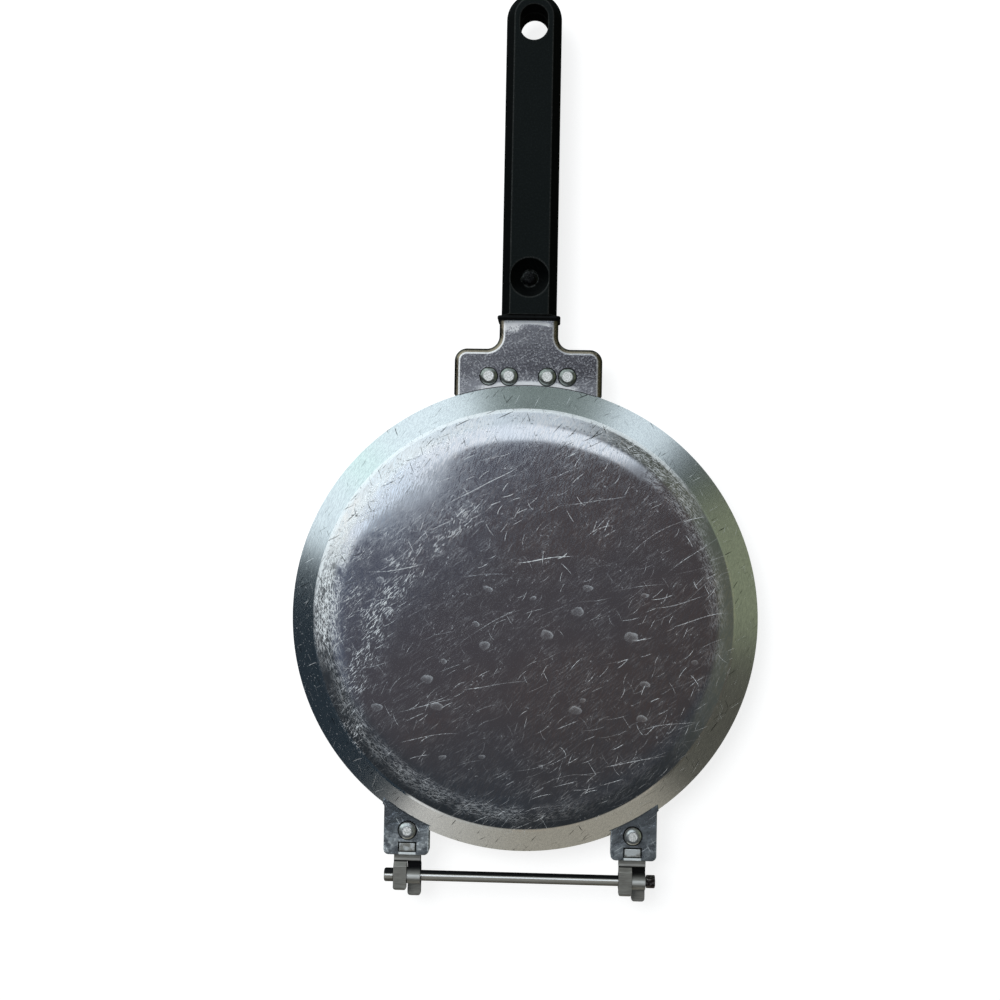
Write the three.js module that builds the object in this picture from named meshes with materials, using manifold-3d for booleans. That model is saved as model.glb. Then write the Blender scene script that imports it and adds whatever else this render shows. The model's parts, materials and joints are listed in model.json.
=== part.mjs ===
// Flip pancake pan: two pressed aluminium pans that close face to face and turn on one rod, each with
// half of the handle. Millimetres, +Z up. The origin is the centre of the lower pan's flat base, the
// handle runs along +Y and the hinge rod along X.
import * as THREE from "three";
import { mergeVertices } from "three/addons/utils/BufferGeometryUtils.js";
import Module from "manifold-3d";

const wasm = await Module();
wasm.setup();

// Fits
const PARTING_GAP = 0.3; // between the two halves when shut
const SEAT_GAP = 0.2; // between a piece and the one that it lies on
const HOLE_GAP = 0.2; // around a rivet, screw, tab or tang in its hole
const EYE_GAP = 0.2; // around the rod in its eyes
const SIDE_GAP = 0.3; // between pieces that turn past each other

// Pans
const RIM_R = 111;
const PAN_DEPTH = 19; // rim edge to the outer face of the base
const PAN_SHEET = 2;
const WALL_DEG = 50.5; // slope of the straight wall
const SHOULDER_R = 20; // round between base and wall
const SHOULDER_DEG = 33; // how far that round turns before it meets the wall in a crease
const EAR_SHEET = 1.8;

// Hinge
const HINGE_X = 53.4; // centre of each hinge
const HINGE_REACH = 26.49; // rim beside the hinge to the rod axis
const ROD_R = 2.5;
const ROD_END_R = 3.2; // head and cap
const ROD_END_LENGTH = 4.3;
const ROD_END_ROUND = 0.8;
const SPIGOT_R = 1.8; // turned end of the rod, inside the cap
const CAP_END = 0.6; // closed end of the cap
const LEAF_W = 12.8;
const LEAF_SHEET = 1.5;
const LEAF_END = 6.8; // rod axis to the end of the leaf's plate
const LEAF_RIM_GAP = 0.6; // rim to the leaf's inner end
const ARM_TOP = 4.4; // rod axis to the flat of an arm
const ARM_RAMP = 1.8; // run of the slope between leaf and arm
const BARREL_R = 3.9;
const TOE_UNDER = 2; // rod axis to the underside of a toe
const TOE_ROUND = 1.3;
const UPPER_TOE = 6.5; // rod axis to the end of the arm
const LOWER_TOE = 10.2;
const HINGE_EAR_REACH = 16.19; // rim beside the hinge to the ear's outer edge
const HINGE_EAR_INNER = 10.3; // hinge centre to the ear's side nearer the handle line
const HINGE_EAR_OUTER = 11.3;
const HINGE_EAR_ROUND = 2.5;
const TAB_W = 7.5;
const TAB_LENGTH = 3.6;
const TAB_PROUD = 0.3; // above the ear
const TAB_SETBACK = 3.8; // ear's outer edge to the middle of the tab
const HINGE_RIVET_SETBACK = 11.7; // ear's outer edge to the rivet

// Rivets
const RIVET_R = 2;
const RIVET_HEAD_R = 4.05;
const RIVET_HEAD_H = 2.3;
const RIVET_EDGE_H = 0.6; // upright edge of the head
const RIVET_FLAT_R = 1.8; // flat on top of the head
const RIVET_TAIL_R = 3;

// Handle bracket
const BRACKET_SHEET = 1.5;
const BRACKET_W = 70.4;
const BRACKET_LAP = 0.6; // how far the plate reaches over the rim
const BRACKET_REACH = 17; // rim to the bracket's shoulders
const BRACKET_CORNER_R = 6;
const BRACKET_RIM_GAP = 0.8; // rim to the turned-down edges
const NECK_W = 28;
const NECK_LENGTH = 14.4;
const NECK_FILLET_R = 6;
const NECK_TOP = 6.9; // parting plane to the top of the neck
const NECK_RAMP = 12; // run of the rise from plate to neck
const SKIRT_BOTTOM = 0.4; // parting plane to the turned-down edges
const BRACKET_RIVET_REACH = 3.6; // rim to the rivets
const BRACKET_RIVET_INNER_X = 9.1;
const BRACKET_RIVET_OUTER_X = 18.7;
const HANDLE_EAR_REACH = 13;
const HANDLE_EAR_ROUND = 5;
const HANDLE_EAR_PLAY = 1; // ear to the bracket's turned-down edges
const TANG_W = 14;
const TANG_BOTTOM = 2.5; // parting plane to the tang
const TANG_MARGIN = 9; // screw to the tang's end

// Collar
const COLLAR_LIP = 0.9; // stands out around the neck
const COLLAR_LENGTH = 2;
const COLLAR_GRASP = 1.2; // length of neck that it takes in
const COLLAR_TOP = 10.5; // parting plane to the top of the lip

// Grip
const GRIP_LENGTH = 154.5;
const GRIP_W = 26.2;
const GRIP_TOP = 12; // parting plane to the flat top
const GRIP_CHAMFER_W = 3.95;
const GRIP_CHAMFER_H = 6.5;
const DIMPLE_R = 9.4;
const DIMPLE_DEPTH = 5;
const SCREW_SETBACK = 17.6; // grip's inner end to the screw
const SCREW_R = 2;
const SCREW_HEAD_R = 3.7;
const SCREW_HEAD_H = 2.2;
const SCREW_SLOT_W = 0.9;
const SCREW_SLOT_DEPTH = 1.2;
const SCREW_SEAT = 6.2; // parting plane to the floor under the screw head
const NUT_R = 4.04; // over the corners
const NUT_H = 1.6;
const HANG_HOLE_W = 13.2;
const HANG_HOLE_LENGTH = 17;
const HANG_HOLE_SETBACK = 15.9; // middle of the hole to the grip's outer end
const HANG_HOLE_CHAMFER = 1.2;
const POCKET_COUNT = 3;
const POCKET_W = 14;
const POCKET_LENGTH = 26;
const POCKET_RIB = 2.5;
const POCKET_TOP = 8; // parting plane to the pockets' floor
const POCKET_START = 6; // tang's end to the first pocket

// Smoothness of round shapes, and how far a cutter runs past what it cuts
const PAN_SIDES = 64;
const ROUND_SIDES = 16;
const DIMPLE_SIDES = 24;
const HEX_SIDES = 6;
const ARC_STEPS = 4;
const BARREL_STEPS = 10;
const CUT = 1;
const MERGE = 1e-4;

// Heights in one half, measured from the parting plane towards that half's base
const rimZ = PARTING_GAP / 2;
const baseZ = rimZ + PAN_DEPTH;
const leafTopZ = rimZ + LEAF_SHEET;
const earZ = leafTopZ + SEAT_GAP;
const earTopZ = earZ + EAR_SHEET;
const bracketZ = earTopZ + SEAT_GAP;
const bracketTopZ = bracketZ + BRACKET_SHEET;
const tangTopZ = TANG_BOTTOM + BRACKET_SHEET;

// Places along the handle line
const hingeRimY = -Math.sqrt(RIM_R ** 2 - HINGE_X ** 2);
const hingeY = hingeRimY - HINGE_REACH;
const hingeEarY = hingeRimY - HINGE_EAR_REACH;
const tabY = hingeEarY + TAB_SETBACK;
const hingeRivetY = hingeEarY + HINGE_RIVET_SETBACK;
const bracketRivetY = RIM_R + BRACKET_RIVET_REACH;
const shoulderY = RIM_R + BRACKET_REACH;
const neckEndY = shoulderY + NECK_LENGTH;
const collarY = neckEndY - COLLAR_GRASP;
const collarEndY = collarY + COLLAR_LENGTH;
const gripY = collarEndY + SEAT_GAP;
const gripEndY = gripY + GRIP_LENGTH;
const screwY = gripY + SCREW_SETBACK;
const tangEndY = screwY + TANG_MARGIN;
const hangHoleY = gripEndY - HANG_HOLE_SETBACK;
const armOuterX = HINGE_X + LEAF_W / 2;

// Meshes to solids and back

function solidOf(geometry) {
  const bare = new THREE.BufferGeometry();
  bare.setAttribute("position", geometry.getAttribute("position"));
  bare.setIndex(geometry.getIndex());
  const merged = mergeVertices(bare, MERGE);
  const corners = merged.getIndex().array;
  const kept = [];
  for (let i = 0; i < corners.length; i += 3) {
    const [a, b, c] = corners.slice(i, i + 3);
    if (a !== b && b !== c && c !== a) kept.push(a, b, c);
  }
  const vertProperties = new Float32Array(merged.getAttribute("position").array);
  const triVerts = new Uint32Array(kept);
  return new wasm.Manifold(new wasm.Mesh({ numProp: 3, vertProperties, triVerts }));
}

function geometryOf(solid) {
  const mesh = solid.getMesh();
  const geometry = new THREE.BufferGeometry();
  geometry.setAttribute("position", new THREE.BufferAttribute(new Float32Array(mesh.vertProperties), 3));
  geometry.setIndex(new THREE.BufferAttribute(new Uint32Array(mesh.triVerts), 1));
  geometry.computeVertexNormals();
  return geometry;
}

// Solids from outlines

function block([x0, x1], [y0, y1], [z0, z1]) {
  const geometry = new THREE.BoxGeometry(x1 - x0, y1 - y0, z1 - z0);
  geometry.translate((x0 + x1) / 2, (y0 + y1) / 2, (z0 + z1) / 2);
  return solidOf(geometry);
}

// An outline drawn in X and Y, raised from z0 to z1
function plate(outline, z0, z1) {
  const geometry = new THREE.ExtrudeGeometry(outline, {
    depth: z1 - z0,
    bevelEnabled: false,
    curveSegments: ARC_STEPS,
  });
  geometry.translate(0, 0, z0);
  return solidOf(geometry);
}

// An outline drawn in Y and Z, run from x0 to x1
function acrossX(outline, x0, x1, steps = ARC_STEPS) {
  const geometry = new THREE.ExtrudeGeometry(outline, {
    depth: x1 - x0,
    bevelEnabled: false,
    curveSegments: steps,
  });
  const alongY = new THREE.Vector3(0, 1, 0);
  const alongZ = new THREE.Vector3(0, 0, 1);
  const alongX = new THREE.Vector3(1, 0, 0);
  geometry.applyMatrix4(new THREE.Matrix4().makeBasis(alongY, alongZ, alongX));
  geometry.translate(x0, 0, 0);
  return solidOf(geometry);
}

// An outline of [radius, height] pairs, from the axis back to the axis, turned about Z
function turned(profile, sides) {
  const points = profile.map(([radius, height]) => new THREE.Vector2(radius, height));
  const geometry = new THREE.LatheGeometry(points, sides);
  geometry.rotateX(Math.PI / 2);
  return geometry;
}

function disc(radius, [z0, z1], sides = ROUND_SIDES) {
  return solidOf(turned([[0, z0], [radius, z0], [radius, z1], [0, z1]], sides));
}

function peg(x, y, radius, span) {
  return disc(radius, span).translate([x, y, 0]);
}

// Pans

function panOutside() {
  const turn = THREE.MathUtils.degToRad(SHOULDER_DEG);
  const slope = Math.tan(THREE.MathUtils.degToRad(WALL_DEG));
  const creaseZ = baseZ - SHOULDER_R * (1 - Math.cos(turn));
  const creaseR = RIM_R - (creaseZ - rimZ) / slope;
  const baseR = creaseR - SHOULDER_R * Math.sin(turn);
  return { turn, slope, baseR };
}

// The shoulder from the crease up to the base, set in from the outside by inset
function shoulder(baseR, turn, inset) {
  const radius = SHOULDER_R - inset;
  const points = [];
  for (let step = ARC_STEPS; step >= 0; step -= 1) {
    const angle = (turn * step) / ARC_STEPS;
    points.push([baseR + radius * Math.sin(angle), baseZ - SHOULDER_R + radius * Math.cos(angle)]);
  }
  return points;
}

function hingeEar(side) {
  const inner = side * (HINGE_X - HINGE_EAR_INNER);
  const outer = side * (HINGE_X + HINGE_EAR_OUTER);
  const left = Math.min(inner, outer);
  const right = Math.max(inner, outer);
  return roundedTongue(left, right, -Math.sqrt(RIM_R ** 2 - outer ** 2), hingeEarY, HINGE_EAR_ROUND);
}

function handleEar() {
  const half = BRACKET_W / 2 - BRACKET_SHEET - HANDLE_EAR_PLAY;
  const root = Math.sqrt(RIM_R ** 2 - half ** 2);
  return roundedTongue(-half, half, root, RIM_R + HANDLE_EAR_REACH, HANDLE_EAR_ROUND);
}

// A tongue from inside the wall out to y, with its two outer corners rounded
function roundedTongue(left, right, rootY, endY, round) {
  const away = Math.sign(endY);
  const insideY = rootY - away * 2 * PAN_SHEET;
  const outline = new THREE.Shape();
  outline.moveTo(left, insideY);
  outline.lineTo(left, endY - away * round);
  outline.absarc(left + round, endY - away * round, round, Math.PI, (away * Math.PI) / 2, away > 0);
  outline.absarc(right - round, endY - away * round, round, (away * Math.PI) / 2, 0, away > 0);
  outline.lineTo(right, insideY);
  outline.closePath();
  return plate(outline, earZ, earTopZ);
}

function makePan() {
  const { turn, slope, baseR } = panOutside();
  const innerRimR = RIM_R - PAN_SHEET / Math.sin(Math.atan(slope));
  const outside = [[0, rimZ], [RIM_R, rimZ], ...shoulder(baseR, turn, 0), [0, baseZ]];
  const mouth = [[0, rimZ - CUT], [innerRimR + CUT / slope, rimZ - CUT]];
  const inside = [...mouth, ...shoulder(baseR, turn, PAN_SHEET), [0, baseZ - PAN_SHEET]];
  let pan = solidOf(turned(outside, PAN_SIDES)).add(handleEar());
  for (const side of [-1, 1]) {
    pan = pan.add(hingeEar(side));
  }
  pan = pan.subtract(solidOf(turned(inside, PAN_SIDES)));
  const holeSpan = [earZ - CUT, earTopZ + CUT];
  for (const side of [-1, 1]) {
    pan = pan.subtract(peg(side * HINGE_X, hingeRivetY, RIVET_R + HOLE_GAP, holeSpan));
    pan = pan.subtract(tab(side, HOLE_GAP, holeSpan));
    for (const x of [BRACKET_RIVET_INNER_X, BRACKET_RIVET_OUTER_X]) {
      pan = pan.subtract(peg(side * x, bracketRivetY, RIVET_R + HOLE_GAP, holeSpan));
    }
  }
  return pan;
}

// Hinge leaves

function tab(side, gap, span) {
  const x = side * HINGE_X;
  const halfW = TAB_W / 2 + gap;
  const halfLength = TAB_LENGTH / 2 + gap;
  return block([x - halfW, x + halfW], [tabY - halfLength, tabY + halfLength], span);
}

// Side view of an arm: flat top, toe, and the barrel around the rod
function armOutline(toe) {
  const barrelStart = Math.PI - Math.asin(TOE_UNDER / BARREL_R);
  const barrelEnd = 2 * Math.PI + Math.asin(rimZ / BARREL_R);
  const arm = new THREE.Shape();
  arm.moveTo(hingeY + LEAF_END + ARM_RAMP, rimZ);
  arm.lineTo(hingeY + LEAF_END + ARM_RAMP, leafTopZ);
  arm.lineTo(hingeY + LEAF_END, leafTopZ);
  arm.lineTo(hingeY + LEAF_END - ARM_RAMP, ARM_TOP);
  arm.absarc(hingeY - toe + TOE_ROUND, ARM_TOP - TOE_ROUND, TOE_ROUND, Math.PI / 2, Math.PI, false);
  arm.lineTo(hingeY - toe, TOE_UNDER);
  arm.absarc(hingeY, 0, BARREL_R, barrelStart, barrelEnd, false);
  arm.closePath();
  return arm;
}

function makeLeaf(side, toe) {
  const x = side * HINGE_X;
  const left = x - LEAF_W / 2;
  const right = x + LEAF_W / 2;
  const armSpan = [left, x - SIDE_GAP / 2];
  const rimCut = disc(RIM_R + LEAF_RIM_GAP, [rimZ - CUT, leafTopZ + CUT], PAN_SIDES);
  const countersink = [
    [0, rimZ - CUT],
    [RIVET_TAIL_R + HOLE_GAP + CUT, rimZ - CUT],
    [RIVET_R + HOLE_GAP, rimZ + RIVET_TAIL_R - RIVET_R],
    [RIVET_R + HOLE_GAP, leafTopZ + CUT],
    [0, leafTopZ + CUT],
  ];
  let leaf = block([left, right], [hingeY + LEAF_END, hingeY + RIM_R], [rimZ, leafTopZ]);
  leaf = leaf.subtract(rimCut);
  leaf = leaf.subtract(solidOf(turned(countersink, ROUND_SIDES)).translate([x, hingeRivetY, 0]));
  leaf = leaf.add(tab(side, 0, [rimZ, earTopZ + TAB_PROUD]));
  leaf = leaf.add(acrossX(armOutline(toe), ...armSpan, BARREL_STEPS));
  return leaf.subtract(rodBar(ROD_R + EYE_GAP, left - CUT, right + CUT));
}

// Rod and cap

// A round bar along the hinge axis
function rodBar(radius, x0, x1) {
  const bar = disc(radius, [x0, x1], ROUND_SIDES);
  return bar.rotate([0, 90, 0]).translate([0, hingeY, 0]);
}

function makeRod() {
  const headX = -armOuterX - SIDE_GAP;
  const shankEnd = armOuterX;
  const spigotEnd = armOuterX + SIDE_GAP + ROD_END_LENGTH - CAP_END - HOLE_GAP;
  const profile = [
    [0, headX - ROD_END_LENGTH],
    [ROD_END_R - ROD_END_ROUND, headX - ROD_END_LENGTH],
    [ROD_END_R, headX - ROD_END_LENGTH + ROD_END_ROUND],
    [ROD_END_R, headX],
    [ROD_R, headX],
    [ROD_R, shankEnd],
    [SPIGOT_R, shankEnd],
    [SPIGOT_R, spigotEnd],
    [0, spigotEnd],
  ];
  const rod = solidOf(turned(profile, ROUND_SIDES));
  return rod.rotate([0, 90, 0]).translate([0, hingeY, 0]);
}

function makeCap() {
  const start = armOuterX + SIDE_GAP;
  const end = start + ROD_END_LENGTH;
  const bore = rodBar(SPIGOT_R + HOLE_GAP, start - CUT, end - CAP_END);
  const body = disc(ROD_END_R, [start, end], HEX_SIDES).rotate([0, 90, 0]).translate([0, hingeY, 0]);
  return body.subtract(bore);
}

// Rivets

// Upright edge, quarter-round shoulder and a small flat on top
function rivetHead(seatZ) {
  const points = [[RIVET_HEAD_R, seatZ]];
  for (let step = 0; step <= ARC_STEPS; step += 1) {
    const angle = (Math.PI * step) / (2 * ARC_STEPS);
    const radius = RIVET_FLAT_R + (RIVET_HEAD_R - RIVET_FLAT_R) * Math.cos(angle);
    const height = RIVET_EDGE_H + (RIVET_HEAD_H - RIVET_EDGE_H) * Math.sin(angle);
    points.push([radius, seatZ + height]);
  }
  return [...points, [0, seatZ + RIVET_HEAD_H]];
}

// Flush tail, sunk into the leaf's inner face
function makeHingeRivet(side) {
  const profile = [
    [0, rimZ],
    [RIVET_TAIL_R, rimZ],
    [RIVET_R, rimZ + RIVET_TAIL_R - RIVET_R],
    [RIVET_R, earTopZ + SEAT_GAP],
    ...rivetHead(earTopZ + SEAT_GAP),
  ];
  return solidOf(turned(profile, ROUND_SIDES)).translate([side * HINGE_X, hingeRivetY, 0]);
}

// Flat tail, upset against the inner face of the handle ear
function makeBracketRivet(x) {
  const profile = [
    [0, SKIRT_BOTTOM],
    [RIVET_TAIL_R, SKIRT_BOTTOM],
    [RIVET_TAIL_R, earZ - SEAT_GAP],
    [RIVET_R, earZ - SEAT_GAP],
    [RIVET_R, bracketTopZ + SEAT_GAP],
    ...rivetHead(bracketTopZ + SEAT_GAP),
  ];
  return solidOf(turned(profile, ROUND_SIDES)).translate([x, bracketRivetY, 0]);
}

// Handle bracket

// The T shape from above, set in from the outside by inset
function bracketOutline(inset) {
  const half = BRACKET_W / 2 - inset;
  const neckHalf = NECK_W / 2 - inset;
  const edgeY = shoulderY - inset;
  const corner = BRACKET_CORNER_R - inset;
  const fillet = NECK_FILLET_R + inset;
  const rootY = RIM_R - BRACKET_W / 2;
  const quarter = Math.PI / 2;
  const outline = new THREE.Shape();
  outline.moveTo(-half, rootY);
  outline.lineTo(half, rootY);
  outline.absarc(half - corner, edgeY - corner, corner, 0, quarter, false);
  outline.absarc(neckHalf + fillet, edgeY + fillet, fillet, -quarter, -2 * quarter, true);
  outline.lineTo(neckHalf, neckEndY - inset);
  outline.lineTo(-neckHalf, neckEndY - inset);
  outline.absarc(-neckHalf - fillet, edgeY + fillet, fillet, 0, -quarter, true);
  outline.absarc(-half + corner, edgeY - corner, corner, quarter, 2 * quarter, false);
  outline.closePath();
  return outline;
}

// The bracket from the side: level over the rivets, then up to the neck
function bracketSide(inset, bottom) {
  const low = bracketTopZ - inset;
  const high = NECK_TOP - inset;
  const rampEnd = neckEndY - COLLAR_GRASP;
  const rampStart = rampEnd - NECK_RAMP;
  const rampMiddle = (rampStart + rampEnd) / 2;
  const side = new THREE.Shape();
  side.moveTo(0, bottom);
  side.lineTo(0, low);
  side.lineTo(rampStart, low);
  side.bezierCurveTo(rampMiddle, low, rampMiddle, high, rampEnd, high);
  side.lineTo(neckEndY + CUT, high);
  side.lineTo(neckEndY + CUT, bottom);
  side.closePath();
  return side;
}

function bracketBody(inset, bottom) {
  const side = acrossX(bracketSide(inset, bottom), -BRACKET_W, BRACKET_W);
  return plate(bracketOutline(inset), bottom - CUT, NECK_TOP + CUT).intersect(side);
}

function makeTang() {
  const round = TANG_W / 2;
  const tang = new THREE.Shape();
  tang.moveTo(-round, neckEndY - BRACKET_SHEET);
  tang.lineTo(round, neckEndY - BRACKET_SHEET);
  tang.absarc(0, tangEndY - round, round, 0, Math.PI, false);
  tang.closePath();
  const hole = peg(0, screwY, SCREW_R + HOLE_GAP, [TANG_BOTTOM - CUT, tangTopZ + CUT]);
  return plate(tang, TANG_BOTTOM, tangTopZ).subtract(hole);
}

function makeBracket() {
  const plateCut = disc(RIM_R - BRACKET_LAP, [0, NECK_TOP + CUT], PAN_SIDES);
  const skirtCut = disc(RIM_R + BRACKET_RIM_GAP, [0, bracketZ], PAN_SIDES);
  let bracket = bracketBody(0, SKIRT_BOTTOM).subtract(bracketBody(BRACKET_SHEET, SKIRT_BOTTOM - CUT));
  bracket = bracket.subtract(plateCut).subtract(skirtCut);
  for (const side of [-1, 1]) {
    for (const x of [BRACKET_RIVET_INNER_X, BRACKET_RIVET_OUTER_X]) {
      const span = [bracketZ - CUT, bracketTopZ + CUT];
      bracket = bracket.subtract(peg(side * x, bracketRivetY, RIVET_R + HOLE_GAP, span));
    }
  }
  return bracket.add(makeTang());
}

// Collar, grip and what holds them

function makeCollar() {
  const half = NECK_W / 2 + COLLAR_LIP;
  const neckHalf = NECK_W / 2 + HOLE_GAP;
  const tangHalf = TANG_W / 2 + HOLE_GAP;
  const neckSpan = [collarY - CUT, neckEndY + SEAT_GAP];
  const tangHeights = [TANG_BOTTOM - HOLE_GAP, tangTopZ + HOLE_GAP];
  return block([-half, half], [collarY, collarEndY], [SKIRT_BOTTOM, COLLAR_TOP])
    .subtract(block([-neckHalf, neckHalf], neckSpan, [0, NECK_TOP + HOLE_GAP]))
    .subtract(block([-tangHalf, tangHalf], [neckEndY, collarEndY + CUT], tangHeights));
}

// The grip's outside: flat top with sloping sides, round at the outer end
function gripBody() {
  const half = GRIP_W / 2 - GRIP_CHAMFER_W;
  const endCentreY = gripEndY - GRIP_W / 2;
  const outline = new THREE.Shape();
  outline.moveTo(-half, gripY - GRIP_W);
  outline.lineTo(half, gripY - GRIP_W);
  outline.absarc(0, endCentreY, half, 0, Math.PI, false);
  outline.closePath();
  const geometry = new THREE.ExtrudeGeometry(outline, {
    depth: GRIP_TOP,
    bevelThickness: GRIP_CHAMFER_H,
    bevelSize: GRIP_CHAMFER_W,
    bevelSegments: 1,
    curveSegments: ROUND_SIDES / 2,
  });
  geometry.translate(0, 0, -GRIP_CHAMFER_H);
  const kept = block([-GRIP_W, GRIP_W], [gripY, gripEndY + CUT], [rimZ, GRIP_TOP + CUT]);
  return solidOf(geometry).intersect(kept);
}

function hangHole() {
  const half = HANG_HOLE_W / 2;
  const straight = (HANG_HOLE_LENGTH - HANG_HOLE_W) / 2;
  const outline = new THREE.Shape();
  outline.absarc(0, hangHoleY + straight, half, 0, Math.PI, false);
  outline.absarc(0, hangHoleY - straight, half, Math.PI, 2 * Math.PI, false);
  outline.closePath();
  const geometry = new THREE.ExtrudeGeometry(outline, {
    depth: CUT,
    bevelThickness: HANG_HOLE_CHAMFER,
    bevelSize: HANG_HOLE_CHAMFER,
    bevelSegments: 1,
    curveSegments: ARC_STEPS * 2,
  });
  geometry.translate(0, 0, GRIP_TOP);
  return plate(outline, -CUT, GRIP_TOP + CUT).add(solidOf(geometry));
}

function dimple() {
  const ballR = (DIMPLE_R ** 2 + DIMPLE_DEPTH ** 2) / (2 * DIMPLE_DEPTH);
  const ball = new THREE.SphereGeometry(ballR, DIMPLE_SIDES, DIMPLE_SIDES / 2);
  ball.rotateX(Math.PI / 2);
  ball.translate(0, screwY, GRIP_TOP - DIMPLE_DEPTH + ballR);
  return solidOf(ball);
}

function makeGrip() {
  const tangHalf = TANG_W / 2 + HOLE_GAP;
  const tangSpan = [gripY - CUT, tangEndY + HOLE_GAP];
  let grip = gripBody()
    .subtract(dimple())
    .subtract(hangHole())
    .subtract(block([-tangHalf, tangHalf], tangSpan, [-CUT, tangTopZ + SEAT_GAP]))
    .subtract(peg(0, screwY, SCREW_HEAD_R + HOLE_GAP, [SCREW_SEAT, GRIP_TOP]))
    .subtract(peg(0, screwY, SCREW_R + HOLE_GAP, [0, GRIP_TOP]));
  for (let i = 0; i < POCKET_COUNT; i += 1) {
    const start = tangEndY + POCKET_START + i * (POCKET_LENGTH + POCKET_RIB);
    const span = [start, start + POCKET_LENGTH];
    grip = grip.subtract(block([-POCKET_W / 2, POCKET_W / 2], span, [-CUT, POCKET_TOP]));
  }
  return grip;
}

function makeScrew() {
  const seat = SCREW_SEAT + SEAT_GAP;
  const top = seat + SCREW_HEAD_H;
  const profile = [
    [0, SKIRT_BOTTOM],
    [SCREW_R, SKIRT_BOTTOM],
    [SCREW_R, seat],
    [SCREW_HEAD_R, seat],
    [SCREW_HEAD_R, seat + SCREW_HEAD_H / 2],
    [SCREW_HEAD_R - SCREW_HEAD_H / 2, top],
    [0, top],
  ];
  const long = [-SCREW_R, SCREW_R];
  const thin = [-SCREW_SLOT_W / 2, SCREW_SLOT_W / 2];
  const deep = [top - SCREW_SLOT_DEPTH, top + CUT];
  return solidOf(turned(profile, ROUND_SIDES))
    .subtract(block(long, thin, deep))
    .subtract(block(thin, long, deep))
    .translate([0, screwY, 0]);
}

function makeNut() {
  const top = TANG_BOTTOM - SEAT_GAP;
  const span = [top - NUT_H, top];
  const bore = disc(SCREW_R + HOLE_GAP, [span[0] - CUT, span[1] + CUT]);
  return disc(NUT_R, span, HEX_SIDES).subtract(bore).translate([0, screwY, 0]);
}

// Finishes

const finishes = {
  aluminium: { color: 0xb4b8c0, roughness: 0.32, metalness: 1 },
  bracket: { color: 0xa9a5ad, roughness: 0.25, metalness: 1 },
  rivet: { color: 0xc6c9cc, roughness: 0.3, metalness: 1 },
  steel: { color: 0x8a8780, roughness: 0.4, metalness: 1 },
  darkSteel: { color: 0x3c3835, roughness: 0.45, metalness: 1 },
  grip: { color: 0x141a1a, roughness: 0.55, metalness: 0 },
  collar: { color: 0x0a0b0b, roughness: 0.35, metalness: 0 },
};

function piece(parent, name, finish, solid) {
  const mesh = new THREE.Mesh(geometryOf(solid), new THREE.MeshStandardMaterial(finishes[finish]));
  mesh.name = name;
  parent.add(mesh);
}

// One half, drawn as the upper one with the parting plane at zero height. rightSide is the side of the
// drawing that ends up on the right of the shut pan: +1, or -1 in the half that is turned over.

function makeHalf(name, toe, rightSide) {
  const half = new THREE.Group();
  const rivetXs = [BRACKET_RIVET_INNER_X, BRACKET_RIVET_OUTER_X];
  const fromLeft = [-rivetXs[1], -rivetXs[0], ...rivetXs];
  piece(half, `${name}_pan`, "aluminium", makePan());
  piece(half, `${name}_bracket`, "bracket", makeBracket());
  fromLeft.forEach((x, i) => {
    piece(half, `${name}_bracket_rivet_${i + 1}`, "rivet", makeBracketRivet(rightSide * x));
  });
  for (const [hand, side] of [["left", -rightSide], ["right", rightSide]]) {
    piece(half, `${name}_hinge_leaf_${hand}`, "steel", makeLeaf(side, toe));
    piece(half, `${name}_hinge_rivet_${hand}`, "rivet", makeHingeRivet(side));
  }
  piece(half, `${name}_collar`, "collar", makeCollar());
  piece(half, `${name}_grip`, "grip", makeGrip());
  piece(half, `${name}_grip_screw`, "darkSteel", makeScrew());
  piece(half, `${name}_tang_nut`, "steel", makeNut());
  return half;
}

// The shut pan: the upper half as drawn, the lower one turned over, and the rod between them
const flipPan = new THREE.Group();
const shut = new THREE.Group();
shut.position.z = baseZ;
const upperHalf = makeHalf("upper", UPPER_TOE, 1);
const lowerHalf = makeHalf("lower", LOWER_TOE, -1);
lowerHalf.rotation.y = Math.PI;
shut.add(upperHalf, lowerHalf);
piece(shut, "hinge_rod", "steel", makeRod());
piece(shut, "rod_end_cap", "darkSteel", makeCap());
flipPan.add(shut);

export default flipPan;
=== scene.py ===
# Looks of the flip pancake pan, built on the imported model. Sizes are millimetres in the frame of one half:
# the parting plane is at height zero, the half's flat base is above it and the handle runs along +Y.
import json
import math

import bmesh
import bpy
from mathutils import Matrix, Vector


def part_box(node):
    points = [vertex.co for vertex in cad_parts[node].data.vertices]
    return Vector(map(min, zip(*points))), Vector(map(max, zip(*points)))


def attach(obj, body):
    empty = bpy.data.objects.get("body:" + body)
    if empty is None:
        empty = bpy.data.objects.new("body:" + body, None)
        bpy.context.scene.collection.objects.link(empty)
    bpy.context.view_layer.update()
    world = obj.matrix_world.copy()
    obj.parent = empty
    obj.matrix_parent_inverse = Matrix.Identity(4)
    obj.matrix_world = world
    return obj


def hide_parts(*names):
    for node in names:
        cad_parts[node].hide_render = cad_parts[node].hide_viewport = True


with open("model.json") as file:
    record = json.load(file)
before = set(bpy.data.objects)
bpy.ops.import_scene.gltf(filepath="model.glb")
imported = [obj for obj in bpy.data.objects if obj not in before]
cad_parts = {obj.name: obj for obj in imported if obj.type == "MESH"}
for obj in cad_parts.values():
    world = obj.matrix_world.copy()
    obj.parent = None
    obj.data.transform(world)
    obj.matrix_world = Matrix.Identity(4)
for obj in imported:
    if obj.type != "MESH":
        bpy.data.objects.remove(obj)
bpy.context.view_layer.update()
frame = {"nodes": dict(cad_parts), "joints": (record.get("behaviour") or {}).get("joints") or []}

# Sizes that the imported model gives

MM = 0.001
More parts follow.
